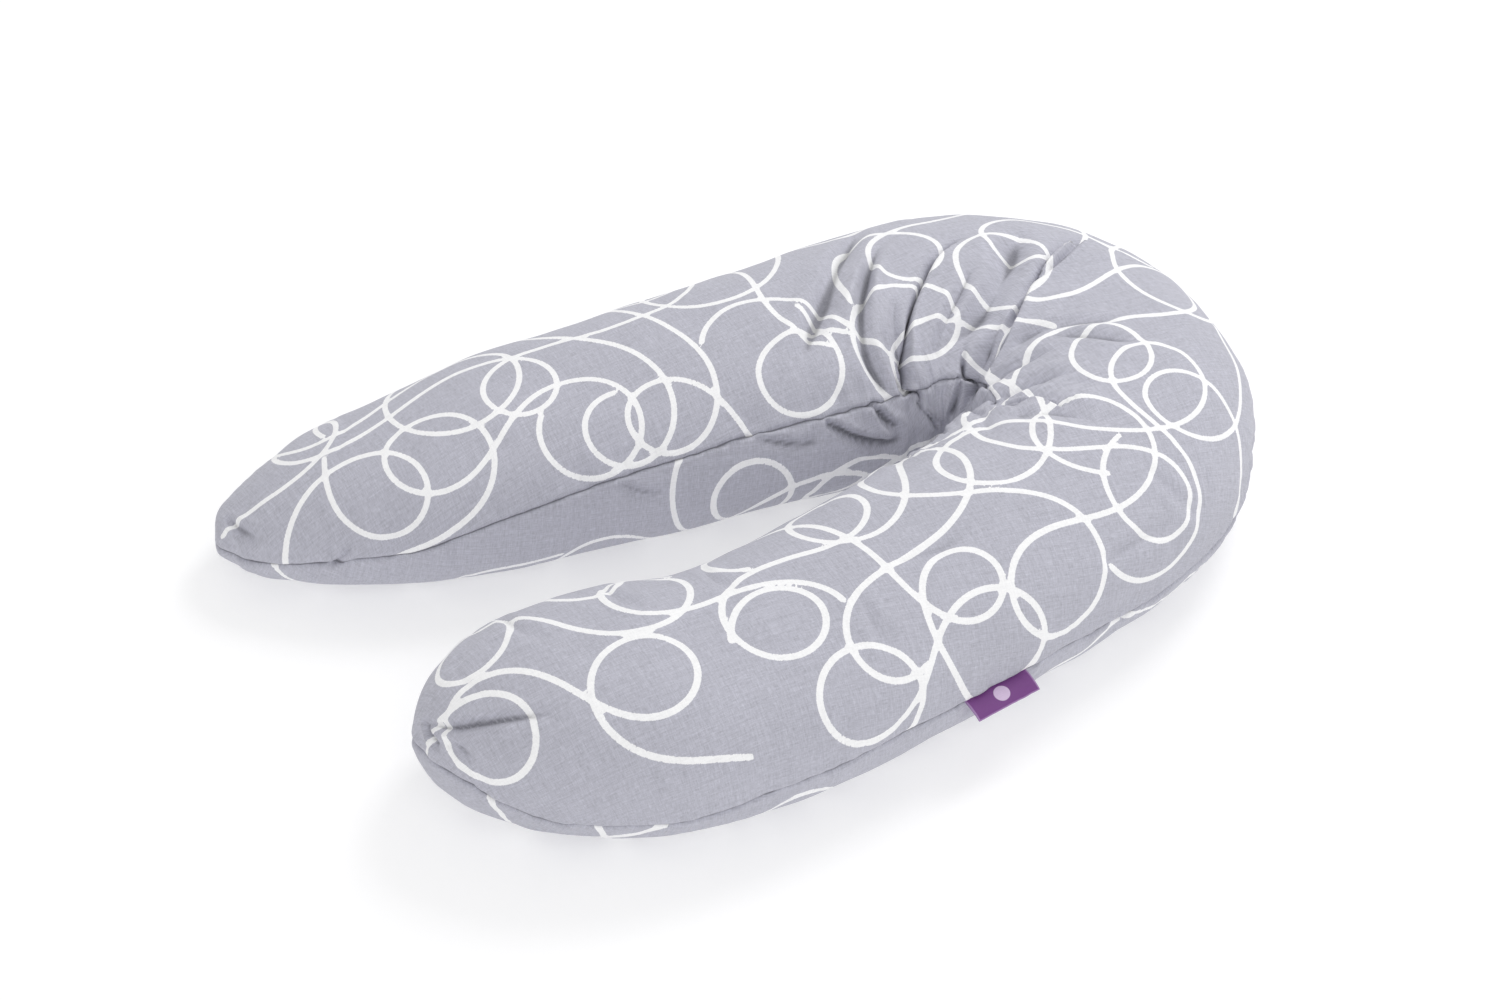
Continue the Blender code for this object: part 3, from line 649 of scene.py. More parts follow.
def walk(i, j, d, panel, bend, length, step=0.003):
    """Points of a line drawn on the panel from (slice, column) along d, turning by bend(s) per metre. It stops at a seam."""
    lo, hi = (0.0, float(HALF)) if panel == 0 else (float(HALF), float(NV))
    out, s, turned = [along(i, j)], 0.0, 0.0
    where = [(i, j)]
    while s < length:
        i0, j0 = min(max(int(i), 0), NU - 1), int(math.floor(j)) % NV
        n = N0[i0, j0]
        d = d - n * (d @ n)
        d = d / max(np.linalg.norm(d), 1e-9)
        th = bend(s) * step
        d = d * math.cos(th) + np.cross(n, d) * math.sin(th)
        eu = T0[i0 + 1, j0] - T0[i0, j0]
        ev = T0[i0, (j0 + 1) % NV] - T0[i0, j0]
        G = np.array([[eu @ eu, eu @ ev], [eu @ ev, ev @ ev]])
        if np.linalg.det(G) < 1e-16:
            return out, where, "tip"
        di, dj = np.linalg.solve(G, np.array([eu @ d, ev @ d])) * step
        big = max(abs(di), abs(dj), 1.0)
        i, j = i + di / max(1.0, big / 12), j + dj / max(1.0, big / 12)
        if j < lo or j > hi:
            j = min(max(j, lo), hi - 1e-6)
            out.append(along(i, j))
            where.append((i, j))
            return out, where, "seam"
        if i < 0.006 * NU or i > 0.994 * NU:
            return out, where, "tip"
        s += step
        out.append(along(i, j))
        where.append((i, j))
    return out, where, "free"


def loose_loops(panel):
    """Loops drawn by a walk over one panel, each from a place that no line is near yet. No line runs along another."""
    lines, dots, tree = [], [], None
    spots = [(x, v) for x in np.linspace(0.035, 0.965, 34) for v in (0.20, 0.40, 0.60, 0.80)]
    for k in sorted(range(len(spots)), key=lambda k: (k * 0.6180339887 + 0.37 * panel) % 1.0):
        i = float(np.interp(spots[k][0], X_SHARE, np.arange(NU + 1)))
        j = (0 if panel == 0 else HALF) + spots[k][1] * HALF
        start = along(i, j)
        if tree and tree.find(start)[2] < 0.027:
            continue
        u, v = TAN[int(i), int(j)], T0[int(i), (int(j) + 1) % NV] - T0[int(i), int(j)]
        v = v / np.linalg.norm(v)
        amp, best = 23 + 9 * ((k * 0.7548776662) % 1.0), []
        for t in range(3):
            head, phase = 2.4 * k + 1.3 * t, 1.7 * k + 2.1 * t
            d, sides = u * math.cos(head) + v * math.sin(head), []
            for way in (-1, 1):
                pts = walk(i, j, d * way, panel, lambda s: way * amp * math.sin(way * s / 0.115 + phase) + 5 * math.sin(s / 0.04), 0.62)[0]
                keep, run = [], 0
                for p in pts[1:]:
                    keep.append(p)
                    run = run + 1 if tree and tree.find(p)[2] < 0.0075 else 0
                    if run > 8:
                        keep = keep[:-8]
                        break
                sides.append(keep)
            line = sides[0][::-1] + [start] + sides[1]
            if len(line) > len(best):
                best = line
        if len(best) < 22:
            continue
        lines.append(np.array(best))
        dots += best
        tree = kdtree.KDTree(len(dots))
        for n, p in enumerate(dots):
            tree.insert(p, n)
        tree.balance()
    return lines


strokes = {0: loose_loops(0), 1: loose_loops(1)}


def print_field():
    """Signed distance in metres from the edge of the nearest printed line; negative inside."""
    out = np.full((NU + 1, NV + 2), 0.02)      # columns 0..HALF upper, HALF+1..NV+1 lower
    for panel in (0, 1):
        P = np.concatenate([dense(r, 0.0012) for r in strokes[panel] if len(r) > 1])
        tree = kdtree.KDTree(len(P))
        for k, p in enumerate(P):
            tree.insert(p, k)
        tree.balance()
        for j in (range(0, HALF + 1) if panel == 0 else range(HALF, NV + 1)):
            for i in range(NU + 1):
                p = T0[i, j % NV]
                thin = 0.00045 * min(1.0, max(0.0, (p[0] - 0.10) / 0.12)) if p[1] < 0.05 else 0.00035
                out[i, j + panel] = min(tree.find(p)[2] - STROKE + thin, 0.02)
    return out


PRINT = print_field()


# ------------------------------------------------------------------ cloth coordinates
def cloth_places():
    """Place on the flat cloth, in metres, of every grid point: columns 0..HALF upper, HALF+1..NV+1 lower."""
    total_up, total_lo = ARCS[0][1], ARCS[1][1]
    xs = SL["s"] / SL["tot"]
    a, b = CROOK_S
    ang = np.radians(112 - 254 * np.clip((xs - a) / (b - a), 0, 1))
    C = np.array(CROOK) + CROOK_R * np.stack([np.cos(ang), np.sin(ang)], 1)
    m = (smooth(xs, a - 0.045, a + 0.012) * (1 - smooth(xs, b - 0.012, b + 0.045)))[:, None]
    out = np.zeros((NU + 1, NV + 2, 2))
    for panel, total in ((0, total_up), (1, total_lo)):
        if panel == 0:
            frac = np.concatenate([FIRST_D[:, :HALF], total[:, None]], 1) / np.maximum(total, 1e-6)[:, None]
        else:
            frac = 1 - np.concatenate([FIRST_D[:, HALF:], total[:, None]], 1) / np.maximum(total, 1e-6)[:, None]
        P, N = SL["P"], SL["N"]
        flat_in = (P - N * (total / 2)[:, None]) * (1 - m) + C * m
        outer = P[:, None, :] + N[:, None, :] * ((0.5 - frac) * total[:, None])[:, :, None]
        inner = P[:, None, :] + (flat_in - P)[:, None, :] * ((frac - 0.5) / 0.5)[:, :, None]
        uv = np.where((frac < 0.5)[:, :, None], outer, inner)
        if panel == 0:
            out[:, :HALF + 1] = uv
        else:
            uv[:, :, 0] += 2.0
            out[:, HALF + 1:] = uv
    return out


CLOTH = cloth_places()
THICK = 0.0006


def new_object(name, verts, faces):
    mesh = bpy.data.meshes.new(name)
    mesh.from_pydata([tuple(v) for v in verts], [], [tuple(f) for f in faces])
    mesh.update()
    ob = bpy.data.objects.new(name, mesh)
    bpy.context.scene.collection.objects.link(ob)
    return ob


def cover_piece(name, i0, i1, panel):
    """One panel's cloth between two slices, as a closed thin shell."""
    cols = list(range(0, HALF + 1)) if panel == 0 else list(range(HALF, NV + 1))
    jj = [c % NV for c in cols]
    P = X[i0:i1 + 1][:, jj]
    N = NX[i0:i1 + 1][:, jj]
    off = 0 if panel == 0 else 1
    UV = CLOTH[i0:i1 + 1][:, [c + off for c in cols]]
    PR = PRINT[i0:i1 + 1][:, [c + off for c in cols]]
    n, m = P.shape[:2]
    start_tip, end_tip = i0 == 0, i1 == NU
    SEAM_SH_D, CREASE_SH = SEAM_D[i0:i1 + 1][:, jj], CREASE_PAINTED_SHADE[i0:i1 + 1][:, jj]
    verts, uvs, prs, seam_shade_dists, crease_shades, nors = [], [], [], [], [], []
    index = np.zeros((2, n, m), int)
    for layer in (0, 1):
        for i in range(n):
            tip = (i == 0 and start_tip) or (i == n - 1 and end_tip)
            for j in range(m):
                if tip and j > 0:
                    index[layer, i, j] = index[layer, i, 0]
                    continue
                index[layer, i, j] = len(verts)
                verts.append(P[i, j] - N[i, j] * (THICK * layer))
                uvs.append(UV[i, j])
                prs.append(PR[i, j])
                seam_shade_dists.append(SEAM_SH_D[i, j])
                crease_shades.append(CREASE_SH[i, j])
                nors.append(N[i, j] if layer == 0 else -N[i, j])
    faces = []

    def quad(a, b, c, d):
        f = []
        for k in (a, b, c, d):
            if k not in f:
                f.append(k)
        if len(f) > 2:
            faces.append(f)

    O, I = index
    a, b, c = P[n // 2, m // 2], P[n // 2 + 1, m // 2], P[n // 2, m // 2 + 1]
    out = np.dot(np.cross(b - a, c - a), N[n // 2, m // 2]) > 0
    for i in range(n - 1):
        for j in range(m - 1):
            q = (i, j), (i + 1, j), (i + 1, j + 1), (i, j + 1)
            if not out:
                q = q[::-1]
            quad(*[O[k] for k in q])
            quad(*[I[k] for k in q[::-1]])
    loop = [(i, 0) for i in range(n)] + [(n - 1, j) for j in range(1, m)] + [(i, m - 1) for i in range(n - 2, -1, -1)] + [(0, j) for j in range(m - 2, 0, -1)]
    for k in range(len(loop)):
        p, q = loop[k], loop[(k + 1) % len(loop)]
        if O[p] == O[q]:
            continue
        if out:
            quad(O[q], O[p], I[p], I[q])
        else:
            quad(O[p], O[q], I[q], I[p])
    ob = new_object(name, verts, faces)
    me = ob.data
    lay = me.uv_layers.new(name="cloth")
    vi = np.zeros(len(me.loops), int)
    me.loops.foreach_get("vertex_index", vi)
    lay.data.foreach_set("uv", np.array(uvs)[vi].astype(np.float32).ravel())
    at = me.attributes.new("print_edge", "FLOAT", "POINT")
    at.data.foreach_set("value", np.array(prs, dtype=np.float32))
    # depth of each crease, which the cloth material uses to paint shade into it
    at = me.attributes.new("crease_painted_shade", "FLOAT", "POINT")
    at.data.foreach_set("value", np.array(crease_shades, dtype=np.float32))
    # distance from the seam, which the cloth material uses to paint shade into the seam groove
    at = me.attributes.new("seam_shade_dist", "FLOAT", "POINT")
    at.data.foreach_set("value", np.array(seam_shade_dists, dtype=np.float32))
    me.shade_smooth()
    me.normals_split_custom_set_from_vertices([tuple(v) for v in nors])
    return ob


# ------------------------------------------------------------------ materials
def srgb(r, g, b, a=1.0):
    def lin(c):
        c /= 255
        return c / 12.92 if c <= 0.04045 else ((c + 0.055) / 1.055) ** 2.4
    return (lin(r), lin(g), lin(b), a)


class Nodes:
    """A small helper for node trees."""

    def __init__(self, name):
        self.mat = bpy.data.materials.new(name)
        self.mat.use_nodes = True
        self.t = self.mat.node_tree
        self.t.nodes.clear()
        self.out = self.t.nodes.new("ShaderNodeOutputMaterial")
        self.bsdf = self.t.nodes.new("ShaderNodeBsdfPrincipled")
        self.link(self.bsdf.outputs[0], self.out.inputs[0])

    def link(self, a, b):
        self.t.links.new(a, b)

    def put(self, node, sock, v):
        if hasattr(v, "default_value") or hasattr(v, "is_output"):
            self.link(v, node.inputs[sock])
        else:
            node.inputs[sock].default_value = v

    def math(self, op, a, b=None, c=None, clamp=False):
        n = self.t.nodes.new("ShaderNodeMath")
        n.operation = op
        n.use_clamp = clamp
        self.put(n, 0, a)
        if b is not None:
            self.put(n, 1, b)
        if c is not None:
            self.put(n, 2, c)
        return n.outputs[0]

    def uv(self, name):
        n = self.t.nodes.new("ShaderNodeUVMap")
        n.uv_map = name
        return n.outputs[0]

    def attr(self, name):
        n = self.t.nodes.new("ShaderNodeAttribute")
        n.attribute_name = name
        return n.outputs["Fac"]

    def scaled(self, vec, x, y, z=1.0, turn=0.0):
        n = self.t.nodes.new("ShaderNodeMapping")
        n.inputs["Scale"].default_value = (x, y, z)
        n.inputs["Rotation"].default_value = (0, 0, turn)
        self.link(vec, n.inputs["Vector"])
        return n.outputs[0]

    def noise(self, vec, scale, detail=2.0, rough=0.5, dims="3D"):
        n = self.t.nodes.new("ShaderNodeTexNoise")
        n.noise_dimensions = dims
        n.inputs["Scale"].default_value = scale
        n.inputs["Detail"].default_value = detail
        n.inputs["Roughness"].default_value = rough
        self.link(vec, n.inputs["Vector"])
        return n.outputs[0]

    def split(self, vec):
        n = self.t.nodes.new("ShaderNodeSeparateXYZ")
        self.link(vec, n.inputs[0])
        return n.outputs

    def ramp(self, v, lo, hi, a=0.0, b=1.0, smooth_step=False):
        n = self.t.nodes.new("ShaderNodeMapRange")
        n.interpolation_type = "SMOOTHSTEP" if smooth_step else "LINEAR"
        self.put(n, 0, v)
        for k, x in zip((1, 2, 3, 4), (lo, hi, a, b)):
            n.inputs[k].default_value = x
        return n.outputs[0]

    def mix(self, f, a, b, mode="MIX"):
        n = self.t.nodes.new("ShaderNodeMix")
        n.data_type = "RGBA"
        n.blend_type = mode
        self.put(n, 0, f)
        self.put(n, 6, a)
        self.put(n, 7, b)
        return n.outputs[2]

    def bump(self, height, distance, strength=1.0, normal=None):
        n = self.t.nodes.new("ShaderNodeBump")
        n.inputs["Distance"].default_value = distance
        n.inputs["Strength"].default_value = strength
        self.link(height, n.inputs["Height"])
        if normal is not None:
            self.link(normal, n.inputs["Normal"])
        return n.outputs[0]

    def weave(self, vec, pitch):
        """Height of a plain weave, 0 to 1, on a vector in metres."""
        s = self.split(vec)
        k = math.pi / pitch
        su = self.math("SINE", self.math("MULTIPLY", s[0], k))
        sv = self.math("SINE", self.math("MULTIPLY", s[1], k))
        over = self.math("GREATER_THAN", self.math("MULTIPLY", su, sv), 0.0)
        au, av = self.math("ABSOLUTE", su), self.math("ABSOLUTE", sv)
        return self.math("ADD", self.math("MULTIPLY", over, au), self.math("MULTIPLY", self.math("SUBTRACT", 1.0, over), av))

    def shader(self, **kw):
        names = {"base": "Base Color", "rough": "Roughness", "metal": "Metallic", "spec": "Specular IOR Level",
                 "sheen": "Sheen Weight", "sheen_rough": "Sheen Roughness", "sheen_tint": "Sheen Tint", "normal": "Normal",
                 "coat": "Coat Weight", "coat_rough": "Coat Roughness", "ior": "IOR"}
        for k, v in kw.items():
            self.put(self.bsdf, names[k], v)
        return self.mat


def cotton(name, base, ink):
    """Fine plain-weave cotton with a heathered yarn, and a printed line where print_edge is negative. Its colour is
    darkened as painted shade in the seam grooves and in the deep creases.
    """
    N = Nodes(name)
    uv = N.uv("cloth")
    warp = N.noise(N.scaled(uv, 1 / 0.0060, 1 / 0.00060), 1.0, 2.0, 0.55)
    weft = N.noise(N.scaled(uv, 1 / 0.00060, 1 / 0.0055), 1.0, 2.0, 0.55)
    slub = N.noise(N.scaled(uv, 1 / 0.045, 1 / 0.0016), 1.0, 1.0, 0.5)
    slub2 = N.noise(N.scaled(uv, 1 / 0.0016, 1 / 0.040), 1.0, 1.0, 0.5)
    cloud = N.noise(uv, 14.0, 2.0, 0.5)
    yarn = N.math("ADD", N.ramp(warp, 0.25, 0.75, -0.5, 0.5), N.ramp(weft, 0.25, 0.75, -0.5, 0.5))
    slubs = N.math("ADD", N.ramp(slub, 0.25, 0.75, -0.5, 0.5), N.ramp(slub2, 0.25, 0.75, -0.5, 0.5))
    tone = N.math("ADD", N.math("MULTIPLY", yarn, 0.27), N.math("MULTIPLY", slubs, 0.12))
    tone = N.math("ADD", tone, N.ramp(cloud, 0.3, 0.7, -0.018, 0.018))
    weave = N.weave(uv, 0.00052)
    tone = N.math("ADD", tone, N.ramp(weave, 0.0, 1.0, -0.05, 0.03))
    gain = N.math("ADD", tone, 1.0)
    cloth = N.mix(1.0, base, N.combine(gain), "MULTIPLY")
    # the ink's edge follows the threads
    ragged = N.math("ADD", N.attr("print_edge"), N.math("MULTIPLY", N.ramp(N.noise(uv, 900.0, 1.0), 0.3, 0.7, -1.0, 1.0), 0.00018))
    mask = N.ramp(ragged, -0.00022, 0.00022, 1.0, 0.0, True)
    ink_gain = N.math("ADD", N.math("MULTIPLY", tone, 0.35), 1.0)
    inked = N.mix(1.0, ink, N.combine(ink_gain), "MULTIPLY")
    colour = N.mix(mask, cloth, inked)
    # painted shade in the seam grooves: colour darkened to half right at the seam
    painted_shade = N.ramp(N.attr("seam_shade_dist"), 0.0002, 0.0011, 0.50, 1.0, True)
    # painted shade in the creases: colour darkened where the cloth lies deep below its surroundings
    painted_shade = N.math("MULTIPLY", painted_shade, N.ramp(N.attr("crease_painted_shade"), 0.10, 1.0, 1.0, 0.52, True))
    colour = N.mix(1.0, colour, N.combine(painted_shade), "MULTIPLY")
    height = N.math("ADD", N.math("MULTIPLY", weave, 0.55), N.math("MULTIPLY", N.math("ADD", yarn, slubs), 0.6))
    return N.shader(base=colour, rough=N.ramp(warp, 0.3, 0.7, 0.86, 0.96), spec=0.18, sheen=0.22, sheen_rough=0.45,
                    normal=N.bump(height, 0.00016, 0.8))


def combine(self, v):
    n = self.t.nodes.new("ShaderNodeCombineColor")
    for k in range(3):
        self.link(v, n.inputs[k])
    return n.outputs[0]


Nodes.combine = combine


FABRIC = cotton("cover_cotton", srgb(188, 188, 199), srgb(252, 252, 253))

halves = {}
for name, i0, i1, panel, arm, start, end, gone in (
        ("cover_upper_back_half", 0, MID, 0, "back_arm", (-0.04, .15, .07), (0.16, .15, .07), ("cover_upper_back", "liner_upper_back")),
        ("cover_lower_back_half", 0, MID, 1, "back_arm", (-0.04, .15, .07), (0.16, .15, .07), ("cover_lower_back", "liner_lower_back", "bead_fill_back")),
        ("cover_upper_front_half", MID, NU, 0, "front_arm", (-0.15, -.15, .07), (0.01, -.15, .07), ("cover_upper_front", "liner_upper_front", "cover_upper_bend", "liner_upper_bend")),
        ("cover_lower_front_half", MID, NU, 1, "front_arm", (-0.15, -.15, .07), (0.01, -.15, .07), ("cover_lower_front", "liner_lower_front", "bead_fill_front", "cover_lower_bend", "liner_lower_bend", "bead_fill_bend"))):
    ob = cover_piece(name, i0, i1, panel)
    ob.data.materials.append(FABRIC)
    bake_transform(ob)
    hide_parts(*gone)
    halves[name] = ob


# ------------------------------------------------------------------ sewn labels
def seam_points(col, i_lo, i_hi):
    return X[i_lo:i_hi + 1, col]


def tab(name, x_lo, x_hi, front, length, lean, wave, thick=0.0009):
    """A folded label sewn into the outer seam: a flat loop of ribbon that stands out and droops."""
    rows = range(MID, NU + 1) if front else range(0, MID + 1)
    rows = np.array([i for i in rows if x_lo - 0.01 < X[i, 0, 0] < x_hi + 0.01])
    line = X[rows, 0]
    norm = NX[rows, 0]
    order = np.argsort(line[:, 0])
    line, norm = line[order], norm[order]
    na, nb = 40, 22
    xs = np.linspace(x_lo, x_hi, na)
    base = np.stack([np.interp(xs, line[:, 0], line[:, k]) for k in range(3)], 1)
    # the ribbon is straight, the seam under it nearly so
    base = base * 0.25 + 0.75 * (base[0] + (base[-1] - base[0]) * np.linspace(0, 1, na)[:, None])
    out = np.array([np.interp(xs, line[:, 0], norm[:, k]) for k in range(3)]).T
    out[:, 2] = 0
    out /= np.linalg.norm(out, axis=1)[:, None]
    out = out.mean(0)
    base = base - out * 0.0022
    bs = np.linspace(0, 1, nb)
    tilt = np.radians(lean[0] + (lean[1] - lean[0]) * bs ** 0.8)
    run_o = np.r_[0, np.cumsum((np.cos(tilt[1:]) + np.cos(tilt[:-1])) / 2)] / (nb - 1) * (length + 0.0022)
    run_z = -np.r_[0, np.cumsum((np.sin(tilt[1:]) + np.sin(tilt[:-1])) / 2)] / (nb - 1) * (length + 0.0022)
    top, bot = [], []
    for a in range(na):
        fa = a / (na - 1)
        ra, rb = [], []
        for b in range(nb):
            fb = b / (nb - 1)
            swing = wave * math.sin(fa * 5.1 + 0.6) * fb ** 1.3 + wave * 0.35 * math.sin(fa * 11 + fb * 3) * fb
            face = out * math.sin(tilt[b]) + np.array([0, 0, math.cos(tilt[b])])
            p = base[a] + out * run_o[b] + np.array([0, 0, run_z[b]]) + face * swing
            open_up = math.sin(math.pi * min(1, fb * 1.02)) ** 0.7 * 0.0007 + 0.00006
            h = thick / 2 * min(1.0, math.sqrt(max(1 - ((fb - 0.965) / 0.035) ** 2, 0.0)) if fb > 0.965 else 1.0) + open_up * 0.5
            ra.append(p + face * h)
            rb.append(p - face * h)
        top.append(ra)
        bot.append(rb)
    top, bot = np.array(top), np.array(bot)
    verts = list(top.reshape(-1, 3)) + list(bot.reshape(-1, 3))
    T = np.arange(na * nb).reshape(na, nb)
    B = T + na * nb
    faces = []
    for a in range(na - 1):
        for b in range(nb - 1):
            faces.append([T[a, b], T[a, b + 1], T[a + 1, b + 1], T[a + 1, b]])
            faces.append([B[a, b], B[a + 1, b], B[a + 1, b + 1], B[a, b + 1]])
    loop = [(a, 0) for a in range(na)] + [(na - 1, b) for b in range(1, nb)] + [(a, nb - 1) for a in range(na - 2, -1, -1)] + [(0, b) for b in range(nb - 2, 0, -1)]
    for k in range(len(loop)):
        p, q = loop[k], loop[(k + 1) % len(loop)]
        faces.append([T[p], T[q], B[q], B[p]])
    ob = new_object(name, verts, faces)
    me = ob.data
    bm = bmesh.new()
    bm.from_mesh(me)
    bmesh.ops.recalc_face_normals(bm, faces=bm.faces)
    bm.to_mesh(me)
    bm.free()
    lay = me.uv_layers.new(name="cloth")
    ab = {}
    for a in range(na):
        for b in range(nb):
            ab[int(T[a, b])] = (a / (na - 1), b / (nb - 1))
            ab[int(B[a, b])] = (a / (na - 1), b / (nb - 1))
    for lp in me.loops:
        fa, fb = ab[lp.vertex_index]
        lay.data[lp.index].uv = (fa * (x_hi - x_lo), fb * length)
    me.shade_smooth()
    me.set_sharp_from_angle(angle=math.radians(50))
    return ob


def ribbon(name, base, edge, width, length, gloss, oval=None):
    """Woven satin ribbon with a fine rib and a plain selvedge."""
    N = Nodes(name)
    uv = N.uv("cloth")
    s = N.split(uv)
    rib = N.math("ABSOLUTE", N.math("SINE", N.math("MULTIPLY", s[1], math.pi / 0.00042)))
    warp = N.math("ABSOLUTE", N.math("SINE", N.math("MULTIPLY", s[0], math.pi / 0.00030)))
    yarn = N.noise(N.scaled(uv, 1 / 0.006, 1 / 0.0005), 1.0, 2.0)
    rim = N.math("MINIMUM", s[0], N.math("SUBTRACT", width, s[0]))
    mask = N.ramp(rim, 0.0009, 0.0013, 1.0, 0.0, True)
    fold = N.ramp(s[1], length - 0.0012, length - 0.0005, 0.0, 1.0, True)
    gain = N.math("ADD", 0.90, N.math("ADD", N.math("MULTIPLY", rib, 0.10), N.ramp(yarn, 0.3, 0.7, -0.05, 0.05)))
    colour = N.mix(N.math("MULTIPLY", N.math("MAXIMUM", mask, fold), 0.75), base, edge)
    if oval:
        cx, cy, rx, ry, tint = oval
        ex = N.math("DIVIDE", N.math("SUBTRACT", s[0], cx), rx)
        ey = N.math("DIVIDE", N.math("SUBTRACT", s[1], cy), ry)
        r2 = N.math("ADD", N.math("MULTIPLY", ex, ex), N.math("MULTIPLY", ey, ey))
        colour = N.mix(N.ramp(r2, 0.92, 1.05, 1.0, 0.0, True), colour, tint)
    colour = N.mix(1.0, colour, N.combine(gain), "MULTIPLY")
    h = N.math("ADD", N.math("MULTIPLY", rib, 0.7), N.math("MULTIPLY", warp, 0.3))
    return N.shader(base=colour, rough=N.ramp(yarn, 0.3, 0.7, gloss - 0.05, gloss + 0.07), spec=0.45, sheen=0.12, sheen_rough=0.3, normal=N.bump(h, 0.00010, 0.6))


side = tab("side_label_ribbon", 0.0165, 0.0750, True, 0.0205, (4, 34), 0.0007)
side.data.materials.append(ribbon("label_ribbon", srgb(118, 62, 132), srgb(172, 140, 186), 0.0585, 0.0205, 0.50,
                                   (0.0290, 0.0105, 0.0068, 0.0056, srgb(214, 192, 222))))
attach(side, "bend")
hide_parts("side_label")

lo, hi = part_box("care_label")
care = tab("care_label_ribbon", lo[0], hi[0], False, 0.040, (12, 88), 0.0012, thick=0.0006)
care.data.materials.append(ribbon("care_ribbon", srgb(236, 235, 230), srgb(246, 246, 243), hi[0] - lo[0], 0.040, 0.62))
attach(care, "bend")
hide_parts("care_label")


# ------------------------------------------------------------------ zip
zal = ZIP_B - ZIP_A
zal = zal / np.linalg.norm(zal)
zou = np.array([0.02866, 0.99959, 0.0])
zup = np.cross(zou, zal)
zup = zup / np.linalg.norm(zup)
if zup[2] < 0:
    zup = -zup
zou = np.cross(zal, zup)
zou = zou / np.linalg.norm(zou)
if zou[1] < 0:
    zou = -zou
Z0 = seam_line(np.array(ZIP_X0))
Z_LEN = float(np.linalg.norm(seam_line(np.array(ZIP_X1)) - Z0))


def zip_at(s, v, n):
    return Z0 + zal * s + zup * v + zou * n


def skin(s, v, lift):
    """A place beside the zip's middle, lift metres proud of the cloth."""
    p = zip_at(s, v, 0.030)
    hit = ZIP_TREE.ray_cast(Vector(p), Vector(-zou), 0.08)
    if hit[0] is None:
        return zip_at(s, v, lift)
    return np.array(hit[0]) + zou * lift


def zip_tree():
    from mathutils.bvhtree import BVHTree
    rows = [i for i in range(0, MID) if ZIP_X0 - 0.03 < X[i, 0, 0] < ZIP_X1 + 0.03]
    cols = list(range(-8, 9))
    vs = [tuple(X[i, c % NV]) for i in rows for c in cols]
    m = len(cols)
    fs = [(r * m + c, r * m + c + 1, (r + 1) * m + c + 1, (r + 1) * m + c) for r in range(len(rows) - 1) for c in range(m - 1)]
    return BVHTree.FromPolygons(vs, fs)


ZIP_TREE = zip_tree()


def tape(name, side_of):
    """Half of the zip's woven tape, a thin closed strip that lies on the cloth."""
    ns, nv = 160, 9
    verts, uvs = [], []
    for layer in (0, 1):
        for a in range(ns):
            s = -0.0005 + (Z_LEN + 0.001) * a / (ns - 1)
            for b in range(nv):
                v = 0.0007 + (0.0104 - 0.0007) * b / (nv - 1)
                lift = 0.00105 - 0.00025 * (b / (nv - 1)) ** 2 - (0.0009 * layer if b < nv - 1 else 0.00075 * layer)
                verts.append(skin(s, v * side_of, lift))
                uvs.append((s, v))
    idx = np.arange(2 * ns * nv).reshape(2, ns, nv)
    faces = []
    for a in range(ns - 1):
        for b in range(nv - 1):
            faces.append([idx[0, a, b], idx[0, a + 1, b], idx[0, a + 1, b + 1], idx[0, a, b + 1]])
            faces.append([idx[1, a, b], idx[1, a, b + 1], idx[1, a + 1, b + 1], idx[1, a + 1, b]])
    loop = [(a, 0) for a in range(ns)] + [(ns - 1, b) for b in range(1, nv)] + [(a, nv - 1) for a in range(ns - 2, -1, -1)] + [(0, b) for b in range(nv - 2, 0, -1)]
    for k in range(len(loop)):
        p, q = loop[k], loop[(k + 1) % len(loop)]
        faces.append([idx[0][p], idx[0][q], idx[1][q], idx[1][p]])
    ob = new_object(name, verts, faces)
    bm = bmesh.new()
    bm.from_mesh(ob.data)
    bmesh.ops.recalc_face_normals(bm, faces=bm.faces)
    bm.to_mesh(ob.data)
    bm.free()
    lay = ob.data.uv_layers.new(name="cloth")
    for lp in ob.data.loops:
        lay.data[lp.index].uv = uvs[lp.vertex_index]
    ob.data.shade_smooth()
    ob.data.set_sharp_from_angle(angle=math.radians(50))
    return ob


def coil(name, side_of):
    """A nylon coil: one wire wound along the tape's edge, its turns reaching over the middle."""
    pitch, wire = 0.0014, 0.00030
    turns = int(Z_LEN / pitch)
    steps, sides = 12, 6
    path = []
    shift = 0.5 if side_of > 0 else 0.0
    for k in range(turns * steps + 1):
        t = k / steps
        a = t * 2 * math.pi
        s = (t + shift) * pitch + 0.0012
        if s > Z_LEN - 0.0012:
            break
        v = 0.00115 + 0.00105 * math.cos(a)
        n = 0.0021 + 0.00045 * math.sin(a)
        path.append(zip_at(s, v * side_of, n))
    path = np.array(path)
    tan = np.gradient(path, axis=0)
    tan /= np.linalg.norm(tan, axis=1)[:, None]
    ref = np.cross(tan, zal)
    ref /= np.linalg.norm(ref, axis=1)[:, None]
    bin_ = np.cross(tan, ref)
    verts, faces = [], []
    for k in range(len(path)):
        for m in range(sides):
            w = 2 * math.pi * m / sides
            verts.append(path[k] + wire * (ref[k] * math.cos(w) + bin_[k] * math.sin(w)))
    for k in range(len(path) - 1):
        for m in range(sides):
            a, b = k * sides + m, k * sides + (m + 1) % sides
            faces.append([a, b, b + sides, a + sides])
    faces.append(list(range(sides))[::-1])
    last = (len(path) - 1) * sides
    faces.append([last + m for m in range(sides)])
    ob = new_object(name, verts, faces)
    bm = bmesh.new()
    bm.from_mesh(ob.data)
    bmesh.ops.recalc_face_normals(bm, faces=bm.faces)
    bm.to_mesh(ob.data)
    bm.free()
    ob.data.shade_smooth()
    return ob


